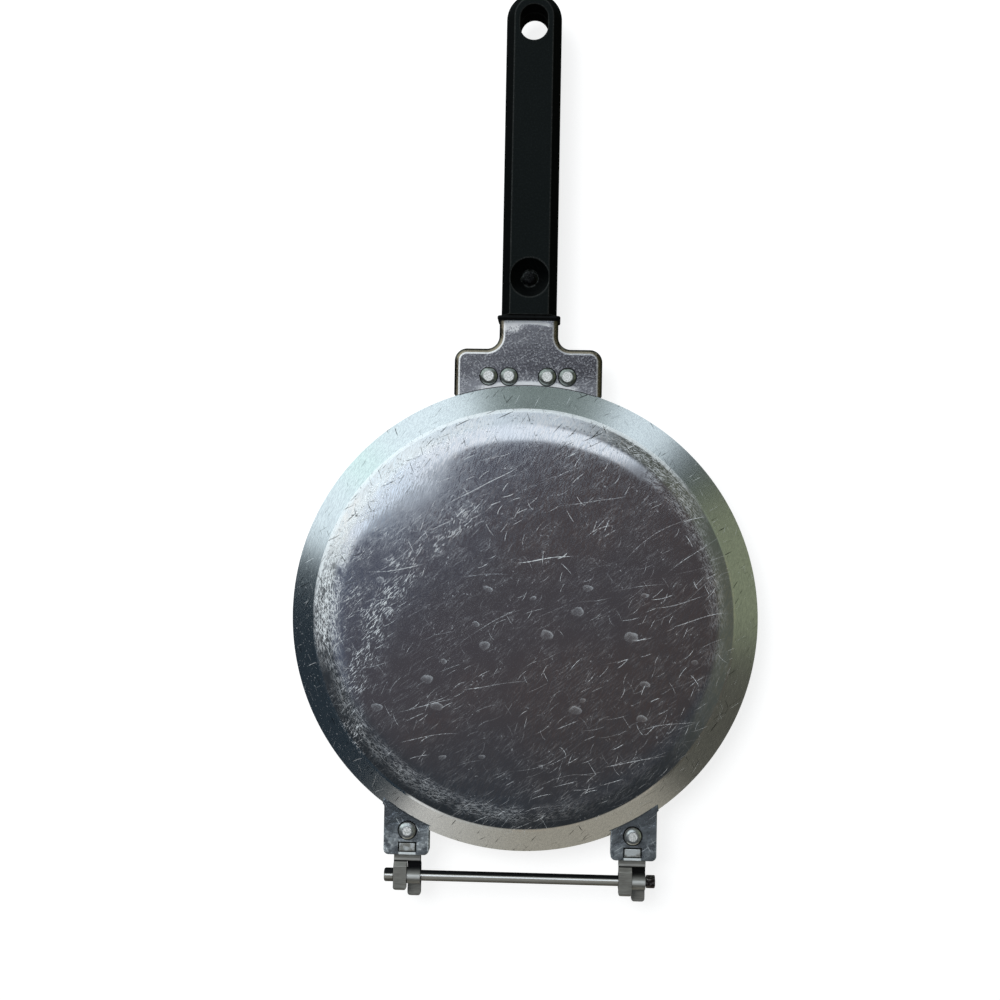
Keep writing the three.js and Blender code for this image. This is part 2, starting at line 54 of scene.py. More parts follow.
open_joint = next(joint for joint in frame["joints"] if joint["name"] == "open")
HINGE_Y = open_joint["pos_m"][1] / MM
PARTING_Z = open_joint["pos_m"][2] / MM


def corners(node):
    """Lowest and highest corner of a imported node, with heights from the parting plane."""
    return [(x / MM, y / MM, z / MM - PARTING_Z) for x, y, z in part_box(node)]


def peg_place(node):
    """Middle of an upright peg, and its lowest and highest point."""
    low, high = corners(node)
    return (low[0] + high[0]) / 2, (low[1] + high[1]) / 2, low[2], high[2]


pan_low, pan_high = corners("upper_pan")
RIM_R, HANDLE_EAR_Y, BASE_Z = pan_high
HINGE_EAR_Y, RIM_Z = pan_low[1:]

bracket_low, bracket_high = corners("upper_bracket")
BRACKET_HALF_W, TANG_END_Y, _ = bracket_high
SKIRT_Z = bracket_low[2]

leaf_low, leaf_high = corners("upper_hinge_leaf_right")
LEAF_RIGHT = leaf_high[0]
LEAF_HALF_W = (LEAF_RIGHT - leaf_low[0]) / 2
HINGE_X = LEAF_RIGHT - LEAF_HALF_W
ARM_Z = leaf_high[2]
BARREL_R = -leaf_low[2]

rod_low, rod_high = corners("hinge_rod")
ROD_END_R = rod_high[2]
cap_low, cap_high = corners("rod_end_cap")
collar_low, collar_high = corners("upper_collar")
grip_low, grip_high = corners("upper_grip")
GRIP_HALF_W, GRIP_END_Y, GRIP_Z = grip_high

_, HINGE_RIVET_Y, _, HINGE_RIVET_TOP = peg_place("upper_hinge_rivet_right")
BRACKET_RIVET_X, BRACKET_RIVET_Y, RIVET_TAIL_Z, BRACKET_RIVET_TOP = peg_place("upper_bracket_rivet_4")
BRACKET_RIVET_INNER_X = peg_place("upper_bracket_rivet_3")[0]
_, SCREW_Y, SCREW_END_Z, SCREW_TOP = peg_place("upper_grip_screw")

# Sizes that the boxes don't give

PAN_SHEET = 2.0
WALL_DEG = 50.5
SHOULDER_R = 20.0
SHOULDER_DEG = 33.0
SHOULDER_EASE = 3.0
CREASE_ROUND = 1.2
RIM_ROUND = 0.5
EAR_LOW_Z = 1.85
EAR_Z = 3.65
EAR_EDGE = 0.4
EAR_INNER = 10.3
EAR_OUTER = 11.3
EAR_CORNER_R = 2.4
EAR_FLARE_R = 1.2
EAR_FILLET_R = 1.5
EAR_FILLET_LIFT = 0.02
EAR_FILLET_INNER_SHARE = 0.92
EAR_FILLET_OUTER_SHARE = 0.82
HANDLE_EAR_HALF_W = 32.7
BRACKET_SHEET = 1.5
BRACKET_Z = 5.35
BRACKET_LAP = 0.6
BRACKET_CLEAR = 0.8
BRACKET_BEND_R = 2.9
BRACKET_SHOULDER_Y = 128.0
BRACKET_CORNER_R = 6.0
NECK_HALF_W = 14.0
NECK_END_Y = 142.4
NECK_FILLET_R = 6.0
BRACKET_SLOPE = 0.034
BRACKET_LEVEL_END = 1.0
BRACKET_SLOPE_START = 4.0
NECK_ROUND_START = 5.0
NECK_ROUND_END = 1.5
TANG_HALF_W = 7.0
TANG_Z = 2.5
LEAF_SHEET = 1.5
LEAF_END = 6.8
LEAF_EDGE = 0.3
LEAF_CORNER_R = 0.3
LEAF_CLEAR = 0.6
ARM_RAMP = 1.8
ARM_EDGE = 0.15
ARM_CORNER_R = 0.5
TOE_UNDER = 2.0
TOE_UNDER_R = 0.4
TOE_ROUND = 1.3
TOE_CORNER_R = 1.6
UPPER_TOE = 6.5
LOWER_TOE = 10.2
SIDE_GAP = 0.3
ARM_GAP = 0.05
TAB_W = 7.5
TAB_LENGTH = 3.6
TAB_SETBACK = 3.8
TAB_PROUD = 0.35
TAB_CORNER_R = 0.6
ROD_R = 2.5
ROD_HEAD_ROUND = 0.9
ROD_HEAD_EDGE = 0.2
CAP_SIDES = 6
CAP_ROUND = 0.5
EYE_R = 2.7
RIVET_R = 2.0
RIVET_HEAD_R = 4.05
RIVET_HEAD_H = 2.3
RIVET_HEAD_EDGE = 0.25
RIVET_SIDE_H = 0.55
RIVET_TAIL_R = 3.0
RIVET_TAIL_H = 1.2
RIVET_TAIL_EDGE = 0.3
BRACKET_RIVET_FLAT_R = 2.4
HINGE_RIVET_FLAT_R = 2.1
COLLAR_LIP_ROUND = 0.7
COLLAR_LOW_R = 0.4
COLLAR_TOP_R = 2.2
GRIP_CHAMFER_W = 3.95
GRIP_CHAMFER_H = 6.5
GRIP_EDGE = 0.4
DIMPLE_R = 9.4
DIMPLE_DEPTH = 5.0
SCREW_HEAD_R = 3.7
SCREW_HEAD_H = 2.2
SCREW_SIDE_H = 0.7
SCREW_FLAT_R = 1.2
SCREW_SLOT_W = 0.9
SCREW_SLOT_DEPTH = 1.2
SCREW_R = 2.0
HANG_HOLE_W = 13.2
HANG_HOLE_LENGTH = 17.0
HANG_HOLE_SETBACK = 15.9
POCKETS = 3
POCKET_W = 14.0
POCKET_LENGTH = 26.0
POCKET_RIB = 2.5
POCKET_Z = 8.0
POCKET_START = 6.0
FIT = 0.2
ROUND_END_GAP = 0.05

WALL = math.radians(WALL_DEG)
SHOULDER = math.radians(SHOULDER_DEG)
CREASE_Z = BASE_Z - SHOULDER_R * (1 - math.cos(SHOULDER))
CREASE_R = RIM_R - (CREASE_Z - RIM_Z) / math.tan(WALL)
FLAT_R = CREASE_R - SHOULDER_R * math.sin(SHOULDER)
SHOULDER_MIDDLE_R = (CREASE_R + FLAT_R) / 2
TAB_Y = HINGE_EAR_Y + TAB_SETBACK
PLATE_R = RIM_R - BRACKET_LAP

# Fineness of the meshes, how far cutters reach past what they cut, and angles

PAN_SIDES = 288
RIVET_SIDES = 48
ARC_STEPS = 8
EDGE_STEPS = 3
CUT = 1.0
BEVEL_DEG = 30
SHARP_DEG = 40
QUARTER = math.pi / 2


# Shells of points and faces


def spread(first, last, steps):
    """Evenly spaced values from first to last, with both."""
    return [first + (last - first) * step / steps for step in range(steps + 1)]


class Shell:
    """Points in millimetres and faces that become one piece."""

    def __init__(self):
        self.points = []
        self.faces = []
        self.coats = []

    def add(self, solid, coat=0, move=(0, 0, 0)):
        points, faces = solid
        start = len(self.points)
        self.points.extend(tuple(c + m for c, m in zip(point, move)) for point in points)
        self.faces.extend(tuple(start + i for i in face) for face in faces)
        self.coats.extend(coat if isinstance(coat, list) else [coat] * len(faces))
        return self


def turned(profile, sides):
    """A profile of (radius, height) pairs, from below to above, turned about the upright axis."""
    points = []
    rings = []
    for radius, height in profile:
        count = sides if radius > 0 else 1
        rings.append([len(points) + i % count for i in range(sides)])
        for i in range(count):
            angle = 2 * math.pi * i / sides
            points.append((radius * math.cos(angle), radius * math.sin(angle), height))
    faces = []
    for below, above in zip(rings, rings[1:]):
        for i in range(sides):
            j = (i + 1) % sides
            faces.append(tuple(dict.fromkeys((below[i], below[j], above[j], above[i]))))
    return points, faces


def lofted(rings, closed=True):
    """Skin over rings of equally many points, with flat ends if the rings are closed."""
    count = len(rings[0])
    points = [point for ring in rings for point in ring]
    faces = []
    for number in range(len(rings) - 1):
        start = number * count
        for i in range(count if closed else count - 1):
            j = (i + 1) % count
            faces.append((start + i, start + j, start + count + j, start + count + i))
    if closed:
        last = len(points) - count
        faces.append(tuple(reversed(range(count))))
        faces.append(tuple(range(last, last + count)))
    return points, faces


def arc_corner(before, corner, after, radius, steps):
    """Points of the arc that rounds one corner of an outline."""
    here = Vector(corner)
    back = (Vector(before) - here).normalized()
    ahead = (Vector(after) - here).normalized()
    half = back.angle(ahead) / 2
    centre = here + (back + ahead).normalized() * radius / math.sin(half)
    start = here + back * radius / math.tan(half) - centre
    end = here + ahead * radius / math.tan(half) - centre
    turn = start.angle_signed(end)
    return [tuple(centre + Matrix.Rotation(angle, 2) @ start) for angle in spread(0, -turn, steps)]


def rounded(outline, steps=ARC_STEPS):
    """A closed outline of (x, y, corner radius) as points. Corners of no radius stay sharp."""
    points = []
    for i, (x, y, radius) in enumerate(outline):
        before = outline[i - 1][:2]
        after = outline[(i + 1) % len(outline)][:2]
        points.extend(arc_corner(before, (x, y), after, radius, steps) if radius else [(x, y)])
    return points


def inset(outline, depth):
    """The same outline, set in by depth on every side. It runs anticlockwise."""
    least = 0.05
    moved = []
    for i, (x, y, radius) in enumerate(outline):
        here = Vector((x, y))
        back = (here - Vector(outline[i - 1][:2])).normalized()
        ahead = (Vector(outline[(i + 1) % len(outline)][:2]) - here).normalized()
        inward = Vector((-back.y - ahead.y, back.x + ahead.x))
        place = here + inward * depth / (1 + back.dot(ahead))
        outer_corner = back.cross(ahead) > 0
        fit = max(least, radius - depth if outer_corner else radius + depth)
        moved.append((place.x, place.y, fit if radius else 0))
    return moved


def quarter_round(radius, steps):
    """A rounded edge as (inward, upward) pairs, from its lower face to its side."""
    angles = spread(0, QUARTER, steps)
    return [(radius * (1 - math.sin(angle)), radius * (1 - math.cos(angle))) for angle in angles]


def dome(side_r, flat_r, low, high, steps):
    """Section of a rounded head, from the top of its side to the edge of its flat."""
    angles = spread(0, QUARTER, steps)
    return [(flat_r + (side_r - flat_r) * math.cos(a), low + (high - low) * math.sin(a)) for a in angles]


def level(ring, height):
    """A ring of (x, y) points at one height."""
    return [(x, y, height) for x, y in ring]


def prism(ring, low, high):
    """A ring of (x, y) points raised from low to high."""
    return lofted([level(ring, low), level(ring, high)])


def peg(radius, low, high):
    """A plain round peg about the upright axis."""
    return turned([(0, low), (radius, low), (radius, high), (0, high)], RIVET_SIDES)


def slab(outline, low, high, edge):
    """An outline raised from low to high, with its upper and lower edges rounded."""
    lower = quarter_round(edge, EDGE_STEPS)
    rings = [(depth, low + up) for depth, up in lower]
    rings += [(depth, high - up) for depth, up in reversed(lower)]
    return lofted([level(rounded(inset(outline, depth)), height) for depth, height in rings])


def rectangle(left, right, near, far, near_r=0.0, far_r=0.0):
    """The outline of a rectangle, with a radius for its near and its far corners."""
    return [(left, near, near_r), (right, near, near_r), (right, far, far_r), (left, far, far_r)]


def along_x(solid):
    """A solid drawn with its outline in Y and Z and its height along X."""
    points, faces = solid
    return [(z, x, y) for x, y, z in points], faces


def mirrored(solid):
    """A solid seen in a mirror across the handle line."""
    points, faces = solid
    return [(-x, y, z) for x, y, z in points], [tuple(reversed(face)) for face in faces]


# Shells to pieces


def stand(name, data):
    """An object with this data, in the scene."""
    obj = bpy.data.objects.new(name, data)
    bpy.context.scene.collection.objects.link(obj)
    return obj


def smooth_piece(name, mesh, finishes):
    for finish in finishes:
        mesh.materials.append(finish)
    mesh.polygons.foreach_set("use_smooth", [True] * len(mesh.polygons))
    return stand(name, mesh)


def link_mesh(name, shell, finishes):
    """A shell as a piece in metres."""
    mesh = bpy.data.meshes.new(name)
    mesh.from_pydata([[c * MM for c in point] for point in shell.points], [], shell.faces)
    obj = smooth_piece(name, mesh, finishes)
    mesh.polygons.foreach_set("material_index", shell.coats)
    return obj


def bake_modifiers(obj):
    bpy.context.view_layer.update()
    seen = obj.evaluated_get(bpy.context.evaluated_depsgraph_get())
    mesh = bpy.data.meshes.new_from_object(seen)
    obj.modifiers.clear()
    obj.data = mesh


def cut_out(obj, cutter):
    """Takes a shell's space out of a piece."""
    tool = link_mesh("cutter", cutter, [])
    modifier = obj.modifiers.new("cut", "BOOLEAN")
    modifier.operation = "DIFFERENCE"
    modifier.solver = "EXACT"
    modifier.use_self = True
    modifier.object = tool
    bake_modifiers(obj)
    bpy.data.objects.remove(tool)


def soften(obj, width, coat):
    """Rounds the sharp edges of a piece. The rounded strips get one coat."""
    modifier = obj.modifiers.new("soften", "BEVEL")
    modifier.width = width * MM
    modifier.segments = EDGE_STEPS
    modifier.limit_method = "ANGLE"
    modifier.angle_limit = math.radians(BEVEL_DEG)
    modifier.use_clamp_overlap = False
    modifier.material = coat
    bake_modifiers(obj)


def even_shading(obj):
    """Smooth shading that keeps flat faces flat."""
    obj.data.set_sharp_from_angle(angle=math.radians(SHARP_DEG))
    modifier = obj.modifiers.new("shading", "WEIGHTED_NORMAL")
    modifier.keep_sharp = True


HALVES = {
    "upper": Matrix.Translation((0, 0, PARTING_Z * MM)),
    "lower": Matrix.Translation((0, 0, PARTING_Z * MM)) @ Matrix.Rotation(math.pi, 4, "Y"),
}


def settle(obj, half, body, slot, *nodes):
    """Puts a piece in its half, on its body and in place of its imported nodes."""
    even_shading(obj)
    obj.matrix_world = HALVES[half]
    obj.visible_glossy = False
    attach(obj, body)
    if nodes:
        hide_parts(*nodes)


# Node trees


def maths_method(name):
    """A method of Wire that adds a Math node with this operation."""
    return lambda wire, *others: wire.maths(name, *others)


class Wire:
    """An output socket. Arithmetic on it adds Math nodes."""

    __add__ = __radd__ = maths_method("ADD")
    __sub__ = maths_method("SUBTRACT")
    __mul__ = __rmul__ = maths_method("MULTIPLY")
    __truediv__ = maths_method("DIVIDE")
    __abs__ = maths_method("ABSOLUTE")
    __lt__ = maths_method("LESS_THAN")
    floor = maths_method("FLOOR")
    fraction = maths_method("FRACT")
    least = maths_method("MINIMUM")
    most = maths_method("MAXIMUM")

    def __init__(self, board, socket):
        self.board = board
        self.socket = socket

    def __rsub__(self, other):
        return self.board.node("ShaderNodeMath", {"operation": "SUBTRACT"}, {0: other, 1: self})

    def maths(self, operation, *others):
        return self.board.node("ShaderNodeMath", {"operation": operation}, dict(enumerate((self, *others))))

    def rise(self, low, high):
        """Zero below low, one above high, and a smooth rise between."""
        inputs = {"Value": self, "From Min": low, "From Max": high}
        return self.board.node("ShaderNodeMapRange", {"interpolation_type": "SMOOTHSTEP"}, inputs)

    def band(self, middle, reach, soft):
        """One within reach of the middle, with soft edges."""
        return 1 - abs(self - middle).rise(reach - soft, reach + soft)


def distance(across, along):
    """How far away a place is, from how far it is across and along."""
    return (across * across + along * along).maths("SQRT")


class Board:
    """A node tree that nodes are added to."""

    def __init__(self, tree):
        self.tree = tree
        self.tree.nodes.clear()

    def node(self, kind, settings, inputs, output=0):
        """Adds a node of a type, with its settings and then its inputs, and gives one of its outputs."""
        made = self.tree.nodes.new(kind)
        for name, value in settings.items():
            setattr(made, name, value)
        for key, value in inputs.items():
            if isinstance(value, Wire):
                self.tree.links.new(value.socket, made.inputs[key])
            else:
                made.inputs[key].default_value = value
        return Wire(self, made.outputs[output]) if made.outputs else None

    def sibling(self, wire, output):
        """Another output of the node that a wire comes from."""
        return Wire(self, wire.socket.node.outputs[output])

    def axes(self, vector):
        parts = self.node("ShaderNodeSeparateXYZ", {}, {0: vector})
        return parts, self.sibling(parts, 1), self.sibling(parts, 2)

    def vector(self, x, y, z=0.0):
        return self.node("ShaderNodeCombineXYZ", {}, {0: x, 1: y, 2: z})

    def noise(self, place, scale, detail=2.0):
        return self.node("ShaderNodeTexNoise", {}, {"Vector": place, "Scale": scale, "Detail": detail})

    def blend(self, share, first, second):
        """From the first colour to the second as share goes from zero to one."""
        inputs = {"Factor": share, 6: first, 7: second}
        return self.node("ShaderNodeMix", {"data_type": "RGBA", "clamp_factor": True}, inputs, 2)


class Finish(Board):
    """A material with one Principled shader. Numbers that are the same all over go in as constants."""

    def __init__(self, name, **constants):
        self.material = bpy.data.materials.new(name)
        self.material.use_nodes = True
        super().__init__(self.material.node_tree)
        inputs = {name.replace("_", " "): value for name, value in constants.items()}
        self.shader = self.node("ShaderNodeBsdfPrincipled", {}, inputs)
        self.node("ShaderNodeOutputMaterial", {}, {"Surface": self.shader})

    def place(self):
        """Where a point is in its half, in millimetres."""
        metres = self.node("ShaderNodeTexCoord", {}, {}, "Object")
        return self.node("ShaderNodeVectorMath", {"operation": "SCALE"}, {0: metres, "Scale": 1 / MM})

    def feed(self, **wires):
        for name, wire in wires.items():
            self.tree.links.new(wire.socket, self.shader.socket.node.inputs[name.replace("_", " ")])

    def bump(self, height, depth):
        """Raises the surface by height times depth, in millimetres."""
        inputs = {"Height": height, "Distance": depth * MM, "Strength": 1.0}
        self.feed(Normal=self.node("ShaderNodeBump", {}, inputs))


def stretched(board, place, turn_deg, length, width):
    """A place counted in cells of length by width, which are turned."""
    inputs = {"Vector": place, "Rotation": (0, 0, math.radians(turn_deg)), "Scale": (length, width, 1)}
    return board.node("ShaderNodeMapping", {"vector_type": "TEXTURE"}, inputs)


def strokes(board, place, turn_deg, length, spacing, width, share, seed):
    """Separate scratches, at most one in each cell of length by spacing, all turned about one way."""
    along, across, _ = board.axes(stretched(board, place, turn_deg, length, spacing))
    row = across.floor()
    along = along + board.node("ShaderNodeTexWhiteNoise", {"noise_dimensions": "1D"}, {"W": row + seed})
    cell = board.vector(along.floor(), row, seed)
    chance = board.node("ShaderNodeTexWhiteNoise", {}, {0: cell})
    lean, bow, offset = board.axes(board.sibling(chance, 1))
    x = along.fraction() - 0.5
    bend = x * x * (bow - 0.5) * 1.6 + x * (lean - 0.5) * 0.9 + offset * 0.3 - 0.15
    line = 1 - (abs(across.fraction() - 0.5 - bend) * spacing).rise(width * 0.3, width)
    ends = 1 - abs(x).rise(0.2, 0.48)
    strength = (1 - chance / share).most(0)
    return line * ends * strength * strength


# Finishes

ALUMINIUM = (0.88, 0.88, 0.89, 1)
DULL = (0.74, 0.74, 0.76, 1)
WARM = (0.9, 0.85, 0.83, 1)
COOL = (0.83, 0.87, 0.92, 1)
# The pale tone below serves scuffs and scratches and also painted highlights, the dark one nicks and also
# painted shadow, and the near-black one painted shade in the hinge and on the rod.
PALE_TONE = (0.94, 0.98, 1.0, 1)
DARK_TONE = (0.02, 0.02, 0.018, 1)
NEAR_BLACK = (0.006, 0.006, 0.006, 1)

# Layers of scratches: turn in degrees, length, spacing, width and share of the cells that hold one.
BASE_STROKES = (
    (27, 13, 5.5, 0.17, 0.26),
    (40, 7, 3.4, 0.17, 0.24),
    (18, 34, 13, 0.2, 0.4),
    (62, 8, 5.0, 0.16, 0.22),
    (42, 52, 17, 0.2, 0.5),
    (146, 7, 7.0, 0.16, 0.2),
    (84, 6, 4.2, 0.17, 0.22),
)
NICK_STROKES = ((62, 7, 2.4, 0.28, 0.5), (128, 6, 3.0, 0.26, 0.4), (34, 11, 3.4, 0.28, 0.45))
WALL_STROKES = ((35, 8, 2.6, 0.2, 0.2), (120, 6, 2.4, 0.18, 0.16), (75, 10, 3.0, 0.18, 0.16))
LINING_STROKES = ((40, 22, 6, 0.25, 0.3), (120, 16, 5, 0.22, 0.25))
BRACKET_STROKES = ((40, 6, 1.6, 0.2, 0.25), (130, 5, 1.8, 0.2, 0.2))

# Layers of hairlines: turn in degrees, length, width, share of the surface and what is added to the seed.
RING_LINES = ((84, 3.5, 0.48, 0.36, 2), (58, 2.6, 0.45, 0.3, 3), (118, 2.6, 0.45, 0.26, 4))
SWEPT_LINES = ((44, 4.0, 0.5, 0.22, 5), (68, 2.6, 0.5, 0.2, 7))
WIPED_LINES = ((36, 9, 0.5, 0.3, 6), (55, 4, 0.5, 0.3, 8))

# Scuffs on the base: two rings about its middle, and an arc about a middle of its own.
INNER_RING_R = 90
OUTER_RING_R = 95
SWEEP_R = 121
SWEEP_X = 42
SWEEP_Y = -52


def marks(finish, place, layers, seed):
    """Several layers of scratches over each other."""
    total = 0.0
    for number, layer in enumerate(layers):
        total = strokes(finish, place, *layer, seed + number) + total
    return total.least(1.0)


def hairlines(finish, place, turn_deg, length, width, share, seed):
    """Fine lines close together and all about one way, over about this share of the surface."""
    lines = stretched(finish, place, turn_deg, length, width)
    inputs = {"Vector": lines, "W": seed, "Scale": 1.0, "Detail": 2.0}
    noise = finish.node("ShaderNodeTexNoise", {"noise_dimensions": "4D"}, inputs)
    middle = 0.72 - 0.45 * share
    return noise.rise(middle - 0.06, middle + 0.06)


def brushing(finish, place, layers, seed):
    """Several layers of hairlines over each other."""
    total = 0.0
    for *layer, number in layers:
        total = hairlines(finish, place, *layer, seed + number) + total
    return total


def bent_place(finish, place, scale, reach):
    """A place pulled about by up to half of reach, so that lines on it bend."""
    pull = finish.node("ShaderNodeTexNoise", {}, {"Vector": place, "Scale": scale, "Detail": 1.0}, "Color")
    settings = {"operation": "MULTIPLY_ADD"}
    return finish.node("ShaderNodeVectorMath", settings, {0: pull, 1: (reach, reach, 0.0), 2: place})


def water_spots(finish, place, seed):
    """Pale dried drops, a few millimetres across, each brighter along its edge and with a painted highlight
    on its side towards the handle.
    """
    bent = bent_place(finish, place, 0.2, 3.0)
    inputs = {"Vector": bent, "Location": (seed * 7.3, seed * 3.1, 0), "Scale": (0.043, 0.065, 1)}
    strewn = finish.node("ShaderNodeMapping", {}, inputs)
    inputs = {"Vector": strewn, "Scale": 1.0}
    away = finish.node("ShaderNodeTexVoronoi", {"voronoi_dimensions": "2D"}, inputs)
    chance, size, _ = finish.axes(finish.sibling(away, 1))
    inputs = {0: strewn, 1: finish.sibling(away, "Position")}
    right, up, _ = finish.axes(finish.node("ShaderNodeVectorMath", {"operation": "SUBTRACT"}, inputs))
    reach = 0.06 + size * 0.1
    share = away / reach
    # Painted highlight: each drop is brighter on its side towards the handle and a little on its right.
    lit = 0.6 + (0.5 * up + 0.3 * right) / reach
    return (1 - share.rise(0.85, 1.0)) * (0.4 + 0.6 * share.rise(0.3, 0.9)) * lit.most(0.1) * (chance < 0.45)


class PanPlace:
    """A place on a pan: flat, by radius and azimuth, and as a share of a turn clockwise from the handle."""

    def __init__(self, finish):
        self.flat = finish.place()
        self.x, self.y, _ = finish.axes(self.flat)
        self.radius = distance(self.x, self.y)
        self.azimuth = self.x.maths("ARCTAN2", self.y)
        self.turn = (self.azimuth / (2 * math.pi) + 1).fraction()
        self.rolled = finish.vector(self.radius, self.azimuth * SHOULDER_MIDDLE_R)


def base_scuffs(finish, at, patch, seed):
    """Two broken rings of scuffs on the shoulder, and an arc of them swept over the left of the base."""
    left = at.turn.band(0.79, 0.072, 0.05)
    right = at.turn.band(0.19, 0.1, 0.05)
    upper_left = at.turn.band(0.87, 0.1, 0.04)
    bottom = at.turn.band(0.58, 0.11, 0.05)
    far_left = at.turn.band(0.775, 0.05, 0.025)
    upper_right = at.turn.band(0.11, 0.05, 0.03)

    hatch = brushing(finish, at.rolled, RING_LINES, seed)
    inner = 0.7 * left + 0.2 * right + 0.3 * upper_left + 0.04 + 0.3 * bottom
    outer = far_left + 0.45 * upper_right
    rings = at.radius.band(INNER_RING_R, 3.5, 2.0) * inner + at.radius.band(OUTER_RING_R, 3.0, 1.5) * outer
    rings = rings * (hatch + 0.12 * far_left).least(1) * patch.rise(0.25, 0.5)

    arc = distance(at.x - SWEEP_X, at.y - SWEEP_Y).band(SWEEP_R, 5.5, 3.0) * at.x.rise(-14, -30)
    swept = 0.75 * arc * patch.rise(0.28, 0.55)
    swept = swept + 0.46 * left * at.radius.band(74, 12, 6) * patch.rise(0.35, 0.6)
    return rings + swept * brushing(finish, at.flat, SWEPT_LINES, seed).least(1)


def pan_base_finish(name, seed):
    """Polished aluminium of the base and shoulder, marked by wear: scratches, scuffs, nicks, specks and
    dried drops, and a painted highlight along the crease on the handle's side.
    """
    finish = Finish(name)
    at = PanPlace(finish)
    cloud = finish.noise(at.flat, 0.03, 3.0)
    finish.bump(cloud, 0.05)

    patch = finish.noise(at.flat, 0.12, 3.0)
    fine = finish.noise(at.flat, 0.9, 2.0)
    bent = bent_place(finish, at.flat, 0.018, 18.0)
    grain = hairlines(finish, at.flat, 72, 4, 0.45, 0.5, seed)
    top = (at.turn + 0.25).fraction().band(0.2, 0.18, 0.04)

    scuff = base_scuffs(finish, at, patch, seed)
    clusters = 0.25 + 0.75 * cloud.rise(0.4, 0.58)
    scratch = marks(finish, bent, BASE_STROKES, seed) * clusters * (0.4 + 0.6 * fine.rise(0.4, 0.55))
    wiped = brushing(finish, at.flat, WIPED_LINES, seed) * patch.rise(0.3, 0.65)
    specks = fine.rise(0.64, 0.74) * patch.rise(0.42, 0.6)
    spots = water_spots(finish, at.flat, seed) * (1 - at.radius.rise(80, 86)) * at.y.rise(40, 12)
    pale_share = (scuff + scratch + 0.075 * wiped + specks * 0.3 + spots * 0.32 + 0.015 * grain).least(1.0)
    # Painted highlight: a bright line along the crease on the handle's side.
    pale_share = (pale_share + 0.7 * top * at.radius.rise(CREASE_R - 1.5, CREASE_R - 0.6)).least(1.0)
    nicked = top * at.radius.rise(74, 88) * patch.rise(0.35, 0.6)
    nicks = (marks(finish, bent, NICK_STROKES, seed + 10) + 0.6 * (1 - fine.rise(0.3, 0.42))) * nicked
    tint = finish.blend(finish.noise(at.flat, 0.016, 2.0).rise(0.42, 0.6), COOL, WARM)
    metal = finish.blend(grain, tint, DULL)
    finish.feed(
        Base_Color=finish.blend(nicks, finish.blend(pale_share, metal, PALE_TONE), DARK_TONE),
        Roughness=0.06 + 0.04 * grain + 0.45 * pale_share,
        Metallic=1 - 0.65 * pale_share,
    )
    return finish.material


def pan_wall_finish(name, seed):
    """The sloping wall: brushed round and round, so it spreads light up and down, with nicks and specks."""
    finish = Finish(name, Anisotropic=0.6)
    at = PanPlace(finish)
    patch = finish.noise(at.flat, 0.12, 3.0)
    fine = finish.noise(at.flat, 0.9, 2.0)
    lines = finish.noise(finish.vector(at.radius * 3.5, at.azimuth * 4.0, seed), 1.0, 3.0)
    finish.bump(lines, 0.01)
    grain = hairlines(finish, at.flat, 76, 4, 0.45, 0.5, seed)
    scratch = marks(finish, at.flat, WALL_STROKES, seed) * patch.rise(0.4, 0.6)
    left = at.turn.band(0.74, 0.09, 0.04)
    pale_share = (scratch * 0.9 + fine.rise(0.64, 0.74) * (0.2 + 0.25 * left)).least(1.0)
    nicks = marks(finish, at.flat, NICK_STROKES, seed + 10) * patch.rise(0.45, 0.62)
    nicks = nicks + 0.3 * (1 - fine.rise(0.27, 0.36)) * patch.rise(0.5, 0.62)
    metal = finish.blend(grain, ALUMINIUM, DULL)
    finish.feed(
        Base_Color=finish.blend(nicks, finish.blend(pale_share, metal, PALE_TONE), DARK_TONE),
        Roughness=0.22 + 0.06 * lines + 0.25 * pale_share,
        Metallic=1 - 0.5 * pale_share,
    )
    return finish.material


